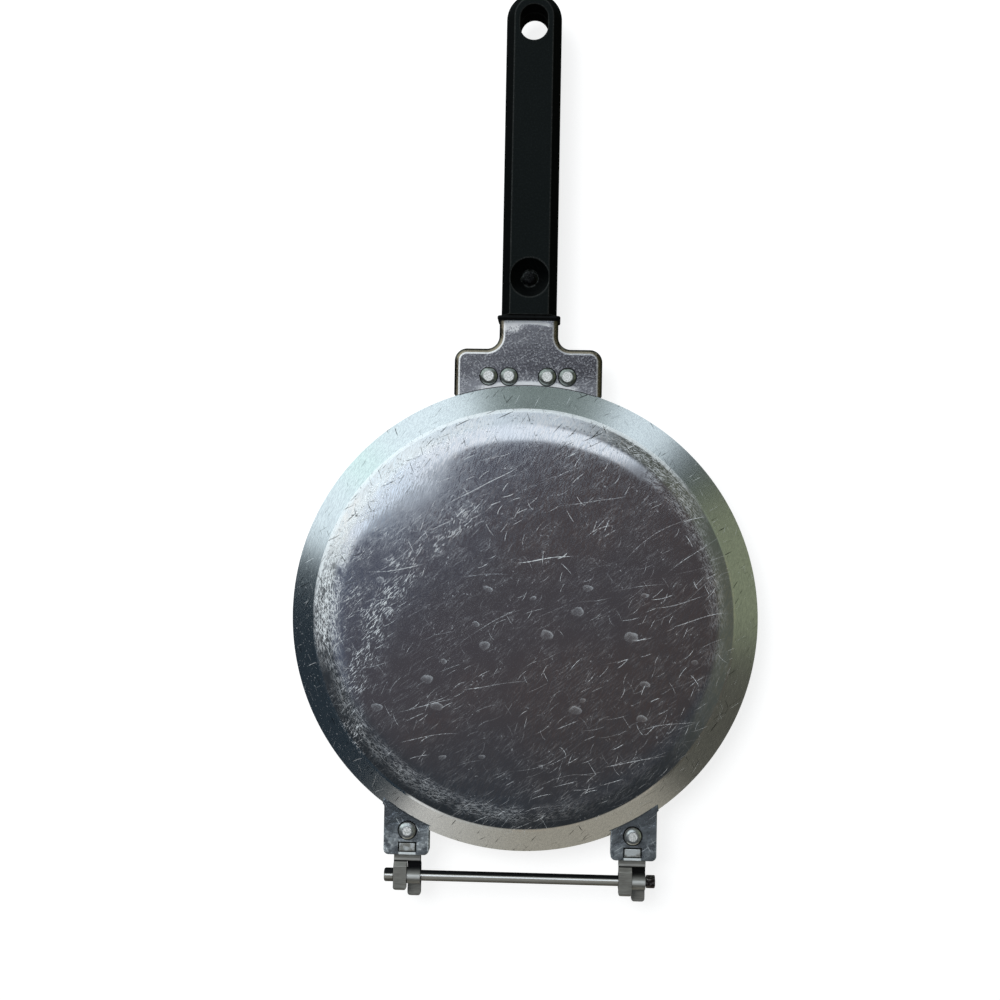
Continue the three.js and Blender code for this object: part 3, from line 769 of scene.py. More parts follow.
def ear_finish(name, seed):
    """The hinge ears: bright pressed aluminium with scratches and patches of wear, painted highlights along
    the edges and on the pressed strip beyond the tab, painted shade towards the wall and on the ear at +x,
    and painted shadow round the rivet and the tab.
    """
    finish = Finish(name)
    place = finish.place()
    x, y, z = finish.axes(place)
    patch = finish.noise(place, 0.2, 3.0)
    fine = finish.noise(place, 0.9, 2.0)
    finish.bump(patch, 0.5)
    root = z.rise(EAR_Z + 0.1, EAR_Z + EAR_FILLET_R * (1 - math.cos(WALL)))
    beside = abs(x) - HINGE_X
    # Painted shadow: a dark ring round the rivet head and round the tab where it comes through its slot.
    rivet_edge = distance(beside, y - HINGE_RIVET_Y).band(RIVET_HEAD_R + 0.25, 0.35, 0.25)
    past_tab = abs(beside) - TAB_W / 2
    tab_edge = past_tab.most(abs(y - TAB_Y) - TAB_LENGTH / 2).band(0.3, 0.35, 0.2)
    painted_rivet_and_tab_shadow = rivet_edge.most(tab_edge)
    # Painted highlight on the pressed strip beyond the tab.
    pressed = past_tab.most(abs(y - HINGE_EAR_Y - 1.3) - 0.9).rise(0.6, 0.0)
    # Painted highlight along the ear's edges. The patches of wear are real, but their strength is painted
    # light and shade: they fade towards the wall and are much weaker on the ear at +x than on the ear at -x.
    border = (beside + EAR_INNER).least(EAR_OUTER - beside).rise(1.1, 0.4)
    scratch = marks(finish, place, BRACKET_STROKES, seed)
    low = y.rise(HINGE_RIVET_Y + 8, HINGE_EAR_Y)
    left = x.rise(10, -10)
    lightening = 0.4 * fine.rise(0.5, 0.66) * patch.rise(0.4, 0.6) + 0.3 * patch.rise(0.45, 0.6)
    lightening = (lightening + 0.6 * border * fine.rise(0.35, 0.6)) * low * (0.45 + 0.65 * left)
    pale_share = (scratch * 0.8 + lightening + pressed + 0.06 * (1 - left) + 0.1 * left * low).least(1.0)
    metal = finish.blend(root, (0.38, 0.42, 0.45, 1), ALUMINIUM)
    bright = finish.blend(pale_share, metal, (0.9, 0.95, 0.96, 1))
    finish.feed(
        Base_Color=finish.blend(painted_rivet_and_tab_shadow, bright, DARK_TONE),
        Roughness=0.2 + 0.12 * patch + 0.3 * pale_share,
        Metallic=0.93 - 0.5 * pale_share,
    )
    return finish.material


def lining_finish():
    """Dark non-stick lining with fine speckle and light use marks."""
    finish = Finish("nonstick_lining", Specular_IOR_Level=0.5)
    place = finish.place()
    speckle = finish.noise(place, 1.6, 3.0)
    cloud = finish.noise(place, 0.03, 3.0)
    lightening = marks(finish, place, LINING_STROKES, 61)
    dark = finish.blend(speckle.rise(0.55, 0.75), (0.012, 0.012, 0.013, 1), (0.03, 0.03, 0.032, 1))
    finish.feed(
        Base_Color=finish.blend(lightening * 0.5, dark, (0.09, 0.09, 0.095, 1)),
        Roughness=0.34 + 0.12 * cloud + 0.1 * speckle,
    )
    finish.bump(speckle, 0.02)
    return finish.material


def bracket_finish():
    """Bright pressed sheet: speckled, scratched face with painted highlights along the rim edge, on the
    neck, under the collar and where the bend starts, painted reflection and shade down the turned-down edge,
    and painted shadow round the rivets and along the rim edge.
    """
    finish = Finish("bracket_sheet")
    place = finish.place()
    x, y, _ = finish.axes(place)
    drop = finish.node("ShaderNodeAttribute", {"attribute_name": "drop"}, {}, "Fac")
    speckle = finish.noise(place, 1.2, 3.0)
    cloud = finish.noise(place, 0.15, 2.0)
    scratch = marks(finish, place, BRACKET_STROKES, 71)
    radius = distance(x, y)
    # Lighter near the rim, and a painted highlight along the rim edge between the rivets.
    near_rim = radius.rise(RIM_R + 9, RIM_R)
    glint = radius.rise(RIM_R + 2.2, RIM_R + 0.6) * abs(x).rise(27, 17)
    # Painted highlight: a speckled bright patch on the neck by the collar, and a bright strip just under the
    # collar.
    beside = x / 5.0 + 1.6
    above = (y - NECK_END_Y) / 4.0 + 0.75
    lightening = (beside * beside + above * above).rise(1.5, 0.3) * (0.35 + 0.9 * speckle.rise(0.4, 0.58))
    under_collar = (y + x * x * 0.012).band(NECK_END_Y - 2.0, 0.8, 0.4) * abs(x).rise(11.5, 9)
    pale_share = 0.6 * scratch + speckle.rise(0.5, 0.68) * 0.4 + lightening + under_collar + glint + 0.12 * near_rim
    neck = y.rise(BRACKET_SHOULDER_Y, BRACKET_SHOULDER_Y + 3)
    pale_share = (pale_share + 0.06 * x.rise(-5, -28) + 0.06 * neck).least(1.0)
    # Painted highlight along the line where the bend starts, stronger on the left.
    line = drop.rise(0.003, 0.02) * drop.rise(0.2, 0.1) * (0.5 + 0.5 * x.rise(6, -6))
    face = finish.blend(pale_share, (0.22, 0.21, 0.225, 1), (0.95, 0.95, 0.97, 1))
    # Painted reflection and shade down the turned-down edge: brown, then near black.
    bend = finish.blend(drop.rise(0.25, 1.1), (0.36, 0.3, 0.22, 1), (0.05, 0.045, 0.03, 1))
    sheet = finish.blend(line, finish.blend(drop.rise(0.07, 0.12), face, bend), (0.97, 0.97, 0.97, 1))
    # Painted shadow: dark rings round the rivet heads and a dark line along the rim edge.
    rivet_away = abs(abs(x) - BRACKET_RIVET_X).least(abs(abs(x) - BRACKET_RIVET_INNER_X))
    outline = distance(rivet_away, y - BRACKET_RIVET_Y).band(RIVET_HEAD_R + 0.1, 0.35, 0.2)
    finish.feed(
        Base_Color=finish.blend(outline.most(radius.rise(RIM_R - 0.2, RIM_R - 0.5)), sheet, DARK_TONE),
        Roughness=0.16 + 0.1 * cloud + 0.3 * pale_share + 0.25 * line,
        Metallic=1 - 0.5 * pale_share - 0.5 * line,
    )
    finish.bump(speckle + cloud, 0.04)
    return finish.material


def mottled_finish(name, grain, tones, roughness, depth, span=None, shine=None, **constants):
    """Two tones in patches. Roughness and shine are each a number and what the patches add to it.

    grain is the scale and detail of the patches, and span is where they go from one tone to the other.
    """
    finish = Finish(name, **constants)
    patches = finish.noise(finish.place(), *grain)
    share = patches.rise(*span) if span else patches
    finish.feed(Base_Color=finish.blend(share, *tones), Roughness=roughness[0] + roughness[1] * patches)
    if shine:
        finish.feed(Metallic=shine[0] + shine[1] * patches)
    if depth:
        finish.bump(patches, depth)
    return finish.material


def rivet_finish(name, *tones):
    """Polished side of a rivet head, between a dark and a light tone."""
    return mottled_finish(name, (0.9, 3.0), tones, (0.22, 0.2), 0.05, span=(0.4, 0.7), Metallic=0.9)


def rivet_flat_finish():
    """Top of a rivet head, beaten by the setting tool."""
    tones = ((0.6, 0.62, 0.6, 1), (0.98, 0.98, 0.98, 1))
    more = {"span": (0.35, 0.65), "shine": (0.5, -0.3)}
    return mottled_finish("rivet_flat", (1.4, 3.0), tones, (0.4, 0.2), 0.15, **more)


def hinge_finish():
    """Satin steel with brushed lines across the arms; painted shade, black, deep between the halves, in the
    fold and on faces that look along the rod; painted highlights along the barrel, at the toe's end and on
    the leaf by the fold.
    """
    finish = Finish("hinge_steel")
    place = finish.place()
    x, y, z = finish.axes(place)
    lines = finish.noise(finish.vector(x * 0.25, y * 2.2, z * 2.2), 1.0, 3.0)
    cloud = finish.noise(place, 0.3, 2.0)
    # Painted shade: black deep between the halves, on the parting side from the rod towards the pan.
    painted_recess_shade = y.rise(HINGE_Y + 0.2, HINGE_Y + 4.2) * z.rise(1.3, 0.7)
    # Painted highlights: along the top of the barrel and the end of the toe on the lower side, and on the
    # leaf just past the fold.
    toe_end = y.band(HINGE_Y - LOWER_TOE + 0.9, 0.35, 0.2)
    lightening = (y.band(HINGE_Y + 0.1, 0.9, 0.6) + 0.7 * toe_end) * z.rise(-0.5, -1.5)
    lightening = lightening + 0.4 * y.band(HINGE_Y + LEAF_END + 1.2, 0.4, 0.25) * z.rise(1.2, 1.5)
    # Painted shade: a dark line in the bend between the leaf and the arm.
    fold = y.band(HINGE_Y + LEAF_END + 0.2, 0.3, 0.15) * z.rise(1.2, 1.5)
    steel = finish.blend(lines.rise(0.3, 0.7), (0.29, 0.28, 0.255, 1), (0.4, 0.39, 0.355, 1))
    steel = finish.blend(lightening, steel, (0.9, 0.9, 0.87, 1))
    tab = y.rise(HINGE_EAR_Y, HINGE_EAR_Y + 0.3) * cloud.rise(0.35, 0.6)
    steel = finish.blend(tab, steel, (0.85, 0.88, 0.88, 1))
    # Painted shade: faces that look along the rod, where the arms meet and at their sides, are black.
    facing, _, _ = finish.axes(finish.node("ShaderNodeNewGeometry", {}, {}, "True Normal"))
    flank = abs(facing).rise(0.6, 0.9)
    finish.feed(
        Base_Color=finish.blend(painted_recess_shade.most(fold).most(flank), steel, NEAR_BLACK),
        Roughness=0.36 + 0.15 * cloud + 0.1 * lines,
        Metallic=0.55 + 0.2 * cloud,
    )
    finish.bump(lines, 0.04)
    return finish.material


def rod_finish():
    """Drawn steel rod with lines along it, painted shade along both sides and a painted highlight line near
    the side towards the pan.
    """
    finish = Finish("rod_steel", Metallic=0.6)
    place = finish.place()
    x, y, z = finish.axes(place)
    lines = finish.noise(finish.vector(x * 0.08, y * 3.0, z * 3.0), 1.0, 3.0)
    steel = finish.blend(lines, (0.45, 0.42, 0.36, 1), (0.75, 0.72, 0.65, 1))
    # Painted shade along the side towards the pan, a painted highlight line next to it, and painted shade
    # along the side away from the pan.
    painted_pan_side_shade = y.rise(HINGE_Y + 0.8, HINGE_Y + 1.3)
    steel = finish.blend(y.band(HINGE_Y + 0.5, 0.3, 0.15), steel, (0.97, 0.96, 0.93, 1))
    steel = finish.blend(y.rise(HINGE_Y - 0.6, HINGE_Y - 2.0), steel, (0.1, 0.09, 0.075, 1))
    finish.feed(
        Base_Color=finish.blend(painted_pan_side_shade, steel, NEAR_BLACK),
        Roughness=0.12 + 0.1 * lines + 0.3 * painted_pan_side_shade,
    )
    finish.bump(lines, 0.01)
    return finish.material


def rod_end_finish():
    """Dark crimped rod ends with patches of wear."""
    tones = ((0.07, 0.055, 0.05, 1), (0.4, 0.36, 0.33, 1))
    more = {"span": (0.45, 0.75), "Metallic": 1.0}
    return mottled_finish("rod_end_steel", (0.9, 3.0), tones, (0.3, 0.2), 0.04, **more)


def grip_finish(name, gloss, dark, light):
    """Moulded black plastic with a fine grain, between two tones."""
    finish = Finish(name, Specular_IOR_Level=gloss)
    place = finish.place()
    grain = finish.noise(place, 1.5, 3.0)
    cloud = finish.noise(place, 0.06, 2.0)
    finish.feed(
        Base_Color=finish.blend(grain.rise(0.45, 0.7), dark, light),
        Roughness=0.48 + 0.14 * cloud + 0.12 * grain,
    )
    finish.bump(grain, 0.05)
    return finish.material


def collar_finish():
    """Smooth black plastic, shinier than the grip."""
    tones = ((0.002, 0.0022, 0.0022, 1), (0.004, 0.0045, 0.0045, 1))
    return mottled_finish("collar_plastic", (0.5, 2.0), tones, (0.22, 0.16), 0.01, Specular_IOR_Level=0.1)


def screw_finish():
    """Blackened screw steel with patches of wear."""
    tones = ((0.012, 0.012, 0.012, 1), (0.06, 0.06, 0.06, 1))
    more = {"span": (0.5, 0.75), "Metallic": 1.0}
    return mottled_finish("screw_steel", (1.2, 3.0), tones, (0.35, 0.2), 0.02, **more)


def floor_finish():
    """Plain pale floor, very slightly uneven."""
    tones = ((0.3, 0.3, 0.3, 1), (0.33, 0.33, 0.33, 1))
    more = {"Emission_Strength": 0.82, "Emission_Color": (1, 1, 1, 1)}
    return mottled_finish("pale_floor", (0.01, 2.0), tones, (0.7, 0.2), 0, **more)


# Pans

COAT_BASE, COAT_LINING, COAT_WALL = range(3)
COAT_HINGE_EAR, COAT_HANDLE_EAR = range(2)


def pan_wall(shift):
    """The wall's section from the rim nearly to the crease, set in from the outside by shift."""
    rim_r = RIM_R - shift / math.sin(WALL)
    meet_r = FLAT_R + (SHOULDER_R - shift) * math.sin(SHOULDER)
    meet_z = BASE_Z - SHOULDER_R + (SHOULDER_R - shift) * math.cos(SHOULDER)
    run = math.hypot(rim_r - meet_r, meet_z - RIM_Z)
    points = []
    for share in (0.0, 0.05, 0.35, 0.7, 1 - 1.5 * CREASE_ROUND / run, 1 - CREASE_ROUND / run):
        points.append((rim_r + (meet_r - rim_r) * share, RIM_Z + (meet_z - RIM_Z) * share))
    return points


def pan_crown(shift):
    """The section from the crease over the shoulder to the middle of the base."""
    radius = SHOULDER_R - shift
    centre_z = BASE_Z - SHOULDER_R

    def on_shoulder(angle):
        reach = radius * math.sin(angle)
        eased = SHOULDER_EASE * math.log(1 + math.exp(reach / SHOULDER_EASE))
        return FLAT_R + reach, centre_z + math.sqrt(radius**2 - eased**2)

    start = Vector(pan_wall(shift)[-1])
    corner = Vector(on_shoulder(SHOULDER))
    first = SHOULDER - CREASE_ROUND / radius
    end = Vector(on_shoulder(first))
    points = []
    for t in spread(0, 1, ARC_STEPS)[1:-1]:
        points.append(tuple(start * (1 - t) ** 2 + corner * 2 * t * (1 - t) + end * t**2))
    last = -math.asin(3 * SHOULDER_EASE / SHOULDER_R)
    points += [on_shoulder(angle) for angle in spread(first, last, 4 * ARC_STEPS)]
    points += [(FLAT_R * share, BASE_Z - shift) for share in (0.85, 0.6, 0.3, 0)]
    return points


def rim_edge():
    """The flat edge of the sheet, between the inside and the outside."""
    inner = pan_wall(PAN_SHEET)[0]
    outer = pan_wall(0)[0]
    return [inner, (inner[0] + RIM_ROUND, RIM_Z), (outer[0] - RIM_ROUND, RIM_Z)]


def hinge_ear_outline():
    """The right-hand hinge ear from above, flared into the rim on its outer side."""
    left = HINGE_X - EAR_INNER
    right = HINGE_X + EAR_OUTER
    under = 3 * PAN_SHEET
    left_y = -math.sqrt(RIM_R**2 - left**2)
    right_y = -math.sqrt(RIM_R**2 - right**2)
    flare = 0.8 * EAR_FLARE_R / RIM_R
    return [
        (left, HINGE_EAR_Y, EAR_CORNER_R),
        (right, HINGE_EAR_Y, EAR_CORNER_R),
        (right, right_y, EAR_FLARE_R),
        (right - flare * right_y, right_y + flare * right, 0),
        (right, right_y + under, 0),
        (left, left_y + under, 0),
    ]


def wall_fillet(first, last):
    """Concave strip where the top of an ear meets the wall, running out at two azimuths."""
    meet_r = RIM_R - (EAR_Z - RIM_Z) / math.tan(WALL)
    rings = []
    for angle in spread(0, WALL, ARC_STEPS):
        ring = []
        for share in spread(0, 1, 4 * ARC_STEPS):
            around = first + (last - first) * share
            size = EAR_FILLET_R * (0.1 + 0.9 * math.sin(math.pi * share) ** 0.4)
            radius = meet_r + size * (math.tan(WALL / 2) - math.sin(angle))
            height = EAR_Z + size * (1 - math.cos(angle)) + EAR_FILLET_LIFT
            ring.append((radius * math.sin(around), radius * math.cos(around), height))
        rings.append(ring)
    return lofted(rings, closed=False)


def pan_shell():
    shell = Shell()
    wall = [*rim_edge(), *pan_wall(0)]
    crown = pan_crown(0)
    coats = [COAT_WALL] * PAN_SIDES * (len(wall) - 1) + [COAT_BASE] * PAN_SIDES * len(crown)
    shell.add(turned([*wall, *crown], PAN_SIDES), coats)
    inside = [*pan_wall(PAN_SHEET), *pan_crown(PAN_SHEET)]
    shell.add(turned(list(reversed(inside)), PAN_SIDES), COAT_LINING)
    return shell


def ears_shell():
    shell = Shell()
    ear = slab(hinge_ear_outline(), EAR_LOW_Z, EAR_Z, EAR_EDGE)
    first = math.atan2(HINGE_X - EAR_INNER, -RIM_R * EAR_FILLET_INNER_SHARE)
    last = math.atan2(HINGE_X + EAR_OUTER, -RIM_R * EAR_FILLET_OUTER_SHARE)
    for solid in (ear, wall_fillet(first, last)):
        shell.add(solid, COAT_HINGE_EAR)
        shell.add(mirrored(solid), COAT_HINGE_EAR)
    half = HANDLE_EAR_HALF_W
    handle_ear = [(half, HANDLE_EAR_Y, EAR_CORNER_R), (-half, HANDLE_EAR_Y, EAR_CORNER_R)]
    for x in spread(-half, half, 2 * ARC_STEPS):
        handle_ear.append((x, math.sqrt(PLATE_R**2 - x**2), 0))
    return shell.add(slab(handle_ear, EAR_LOW_Z, EAR_Z, EAR_EDGE), COAT_HANDLE_EAR)


# Hinge leaves, rod and cap


def arm_outline(toe):
    """An arm from the side, in Y and Z: barrel, foot on the leaf, slope, flat top and toe."""
    barrel_start = math.pi - math.asin(TOE_UNDER / BARREL_R)
    outline = [(HINGE_Y - toe, ARM_Z, TOE_ROUND), (HINGE_Y - toe, TOE_UNDER, TOE_UNDER_R)]
    for angle in spread(barrel_start, 2 * math.pi, 3 * ARC_STEPS):
        outline.append((HINGE_Y + BARREL_R * math.cos(angle), BARREL_R * math.sin(angle), 0))
    return outline + [
        (HINGE_Y + LEAF_END + ARM_RAMP, RIM_Z, 0),
        (HINGE_Y + LEAF_END + ARM_RAMP, RIM_Z + LEAF_SHEET, 0),
        (HINGE_Y + LEAF_END, RIM_Z + LEAF_SHEET, 0),
        (HINGE_Y + LEAF_END - ARM_RAMP, ARM_Z, ARM_CORNER_R),
    ]


def leaf_shell(side, toe):
    """Plate under the ear, tab through its slot, and the arm on the left half of the plate."""
    x = side * HINGE_X
    left = x - LEAF_HALF_W
    right = x + LEAF_HALF_W
    clear_r = RIM_R + LEAF_CLEAR
    plate = [
        (left, HINGE_Y + LEAF_END, LEAF_CORNER_R),
        (right, HINGE_Y + LEAF_END, LEAF_CORNER_R),
        (right, -math.sqrt(clear_r**2 - right**2), LEAF_CORNER_R),
        (left, -math.sqrt(clear_r**2 - left**2), LEAF_CORNER_R),
    ]
    near = TAB_Y - TAB_LENGTH / 2
    far = TAB_Y + TAB_LENGTH / 2
    tab = rectangle(x - TAB_W / 2, x + TAB_W / 2, near, far, TAB_CORNER_R, TAB_CORNER_R)
    shell = Shell()
    shell.add(slab(plate, RIM_Z, RIM_Z + LEAF_SHEET, LEAF_EDGE))
    shell.add(slab(tab, RIM_Z, EAR_Z + TAB_PROUD, LEAF_EDGE))
    return shell.add(along_x(slab(arm_outline(toe), left, x - ARM_GAP / 2, ARM_EDGE)))


def toe_cutter(side, toe):
    """Space outside the rounded corners of an arm's toe."""
    x = side * HINGE_X
    ring = [(-inward, up) for inward, up in reversed(quarter_round(TOE_CORNER_R, ARC_STEPS))]
    ring += [(-TOE_CORNER_R, -CUT), (CUT, -CUT), (CUT, TOE_CORNER_R)]
    corner = prism(ring, -CUT, ARM_Z + CUT)
    shell = Shell().add(corner, move=(x - ARM_GAP / 2, HINGE_Y - toe, 0))
    return shell.add(mirrored(corner), move=(x - LEAF_HALF_W, HINGE_Y - toe, 0))


def eye_cutter(side):
    """The hole that the rod runs through."""
    reach = LEAF_HALF_W + CUT
    hole = peg(EYE_R, side * HINGE_X - reach, side * HINGE_X + reach)
    return Shell().add(along_x(hole), move=(0, HINGE_Y, 0))


def rod_shell():
    """The rod, with its formed head on the left."""
    head_end = rod_low[0]
    head_start = -LEAF_RIGHT - SIDE_GAP
    edge = quarter_round(ROD_HEAD_ROUND, ARC_STEPS)
    profile = [(0, head_end)]
    profile += [(ROD_END_R - inward, head_end + along) for inward, along in edge]
    profile += [(ROD_END_R, head_start - ROD_HEAD_EDGE), (ROD_END_R - ROD_HEAD_EDGE, head_start)]
    profile += [(ROD_R, head_start), (ROD_R, LEAF_RIGHT), (0, LEAF_RIGHT)]
    return Shell().add(along_x(turned(profile, RIVET_SIDES)), move=(0, HINGE_Y, 0))


def cap_shell():
    hexagon = []
    for angle in spread(0, 2 * math.pi, CAP_SIDES)[:-1]:
        hexagon.append((ROD_END_R * math.cos(angle), ROD_END_R * math.sin(angle), CAP_ROUND))
    return Shell().add(along_x(slab(hexagon, cap_low[0], cap_high[0], CAP_ROUND)), move=(0, HINGE_Y, 0))


# Rivets

COAT_HEAD_SIDE, COAT_HEAD_FLAT = range(2)


def rivet_shell(x, y, tail_z, top_z, flat_r):
    """Tail, shank and a head with a rounded side. flat_r is the flat that the setting tool left."""
    seat_z = top_z - RIVET_HEAD_H
    profile = [
        (0, tail_z),
        (RIVET_TAIL_R - RIVET_TAIL_EDGE, tail_z),
        (RIVET_TAIL_R, tail_z + RIVET_TAIL_EDGE),
        (RIVET_TAIL_R, tail_z + RIVET_TAIL_H - RIVET_TAIL_EDGE),
        (RIVET_R, tail_z + RIVET_TAIL_H),
        (RIVET_R, seat_z),
        (RIVET_HEAD_R - RIVET_HEAD_EDGE, seat_z),
        (RIVET_HEAD_R, seat_z + RIVET_HEAD_EDGE),
        *dome(RIVET_HEAD_R, flat_r, seat_z + RIVET_SIDE_H, top_z, 2 * ARC_STEPS),
    ]
    flat = [(flat_r * 0.6, top_z), (0, top_z)]
    coats = [COAT_HEAD_SIDE] * RIVET_SIDES * (len(profile) - 1) + [COAT_HEAD_FLAT] * RIVET_SIDES * len(flat)
    return Shell().add(turned([*profile, *flat], RIVET_SIDES), coats, (x, y, 0))


# Handle bracket


def bracket_height(y):
    """Height of the bracket's top along the handle: level at the rim, a slight rise, round by the collar."""
    level_end = RIM_R + BRACKET_LEVEL_END
    slope_start = RIM_R + BRACKET_SLOPE_START
    slopes = [
        (level_end, 0.0),
        (slope_start, BRACKET_SLOPE),
        (NECK_END_Y - NECK_ROUND_START, BRACKET_SLOPE),
        (NECK_END_Y - NECK_ROUND_END, -BRACKET_SLOPE),
        (NECK_END_Y, -BRACKET_SLOPE),
    ]
    height = BRACKET_Z - BRACKET_SLOPE * (BRACKET_RIVET_Y - (level_end + slope_start) / 2)
    for (start, first), (end, last) in zip(slopes, slopes[1:]):
        reach = min(y, end) - start
        if reach > 0:
            height += first * reach + (last - first) * reach**2 / (2 * (end - start))
    return height


def bracket_side(depth, rim_r):
    """The bracket's right-hand edge from rim to collar, set in by depth."""
    side_x = BRACKET_HALF_W - depth
    neck_x = NECK_HALF_W - depth
    edge_y = BRACKET_SHOULDER_Y - depth
    path = [
        (side_x, math.sqrt(rim_r**2 - side_x**2)),
        (side_x, edge_y, BRACKET_CORNER_R - depth),
        (neck_x, edge_y, NECK_FILLET_R + depth),
        (neck_x, NECK_END_Y),
    ]
    points = [path[0]]
    for i in (1, 2):
        points += arc_corner(path[i - 1][:2], path[i][:2], path[i + 1][:2], path[i][2], 2 * ARC_STEPS)
    return [*points, path[3]]


def bracket_rows():
    """Lines from the foot of the edge over the bend: depth, fall, share that hangs and rim radius."""
    bends = 2 * EDGE_STEPS
    skirt_r = RIM_R + BRACKET_CLEAR
    rows = [(0.0, BRACKET_BEND_R, 1.0, skirt_r)]
    for (fall, depth), rim_r in zip(quarter_round(BRACKET_BEND_R, bends), spread(skirt_r, PLATE_R, bends)):
        rows.append((depth, fall, 0.0, rim_r))
    return rows


def bracket_bend(form, drop, hang, sign):
    """Turned-down edge and bend along one side. Gives the line where the flat starts."""
    rings = []
    for depth, fall, hanging, rim_r in bracket_rows():
        ring = []
        for x, y in bracket_side(depth, rim_r):
            vert = form.verts.new((sign * x, y, 0))
            vert[drop] = fall
            vert[hang] = hanging
            ring.append(vert)
        rings.append(ring)
    for outer, inner in zip(rings, rings[1:]):
        for i in range(len(outer) - 1):
            quad = [outer[i], outer[i + 1], inner[i + 1], inner[i]]
            form.faces.new(quad if sign > 0 else list(reversed(quad)))
    return rings[-1]


def bracket_mesh(name, finish):
    """Pressed tray: flat top, rounded bends and turned-down edges, open at the rim and under the collar."""
    form = bmesh.new()
    drop = form.verts.layers.float.new("drop")
    hang = form.verts.layers.float.new("hang")
    right = bracket_bend(form, drop, hang, 1)
    left = bracket_bend(form, drop, hang, -1)
    reach = math.asin((BRACKET_HALF_W - BRACKET_BEND_R) / PLATE_R)
    rim = []
    for angle in spread(-reach, reach, 4 * ARC_STEPS)[1:-1]:
        rim.append(form.verts.new((PLATE_R * math.sin(angle), PLATE_R * math.cos(angle), 0)))
    form.faces.new([*right, *reversed(left), *rim])
    for y in spread(PLATE_R, NECK_END_Y, 5 * ARC_STEPS)[1:-1]:
        everything = [*form.verts, *form.edges, *form.faces]
        bmesh.ops.bisect_plane(form, geom=everything, plane_co=(0, y, 0), plane_no=(0, 1, 0))
    for vert in form.verts:
        top = bracket_height(vert.co.y) - vert[drop]
        height = top * (1 - vert[hang]) + SKIRT_Z * vert[hang]
        vert.co = Vector((vert.co.x, vert.co.y, height)) * MM
    mesh = bpy.data.meshes.new(name)
    form.to_mesh(mesh)
    form.free()
    obj = smooth_piece(name, mesh, [finish])
    sheet = obj.modifiers.new("sheet", "SOLIDIFY")
    sheet.thickness = BRACKET_SHEET * MM
    sheet.offset = -1
    bake_modifiers(obj)
    return obj


def tang_shell():
    """The strip that runs from the bracket into the grip, to the screw."""
    start = NECK_END_Y - BRACKET_SHEET
    end_r = TANG_HALF_W - 2 * ROUND_END_GAP
    strip = rectangle(-TANG_HALF_W, TANG_HALF_W, start, TANG_END_Y, LEAF_CORNER_R, end_r)
    return Shell().add(slab(strip, TANG_Z, TANG_Z + BRACKET_SHEET, LEAF_EDGE))


# Collar, grip and screw


def across_y(solid):
    """A solid drawn with its outline in X and Z and its height along Y."""
    points, faces = solid
    return [(x, z, y) for x, y, z in points], [tuple(reversed(face)) for face in faces]


def collar_shell():
    half = collar_high[0]
    outline = rectangle(-half, half, collar_low[2], collar_high[2], COLLAR_LOW_R, COLLAR_TOP_R)
    return Shell().add(across_y(slab(outline, collar_low[1], collar_high[1], COLLAR_LIP_ROUND)))


# The grip's sloping sides get a darker copy of its plastic, as painted shade, and its rounded edges a
# lighter copy, as a painted highlight.
COAT_SIDE, COAT_TOP, COAT_EDGE_PAINTED_HIGHLIGHT = range(3)


def grip_outline(half):
    """The grip from above at one height, with a round end, for half its width there."""
    return rectangle(-half, half, grip_low[1], GRIP_END_Y - (GRIP_HALF_W - half), 0, half - ROUND_END_GAP)


def grip_shell():
    """Flat top, sloping sides, upright lower edge and a round end."""
    levels = [
        (GRIP_HALF_W, grip_low[2]),
        (GRIP_HALF_W, GRIP_Z - GRIP_CHAMFER_H),
        (GRIP_HALF_W - GRIP_CHAMFER_W, GRIP_Z),
    ]
    points, faces = lofted([level(rounded(grip_outline(half), 2 * ARC_STEPS), z) for half, z in levels])
    return Shell().add((points, faces), [COAT_SIDE] * (len(faces) - 1) + [COAT_TOP])


def dimple_cutter():
    ball_r = (DIMPLE_R**2 + DIMPLE_DEPTH**2) / (2 * DIMPLE_DEPTH)
    centre_z = GRIP_Z - DIMPLE_DEPTH + ball_r
    profile = [(0, centre_z - ball_r)]
    for angle in spread(0, math.pi, 2 * ARC_STEPS)[1:-1]:
        profile.append((ball_r * math.sin(angle), centre_z - ball_r * math.cos(angle)))
    profile.append((0, centre_z + ball_r))
    return Shell().add(turned(profile, RIVET_SIDES), move=(0, SCREW_Y, 0))


def peg_cutter(radius, low, high):
    return Shell().add(peg(radius, low, high), move=(0, SCREW_Y, 0))


def hang_hole_cutter():
    middle = GRIP_END_Y - HANG_HOLE_SETBACK
    half = HANG_HOLE_W / 2
    reach = HANG_HOLE_LENGTH / 2
    end_r = half - ROUND_END_GAP
    outline = rectangle(-half, half, middle - reach, middle + reach, end_r, end_r)
    return Shell().add(prism(rounded(outline, 2 * ARC_STEPS), -CUT, GRIP_Z + CUT))


def box_cutter(half, near, far, high, low=-CUT):
    return Shell().add(prism(rounded(rectangle(-half, half, near, far)), low, high))


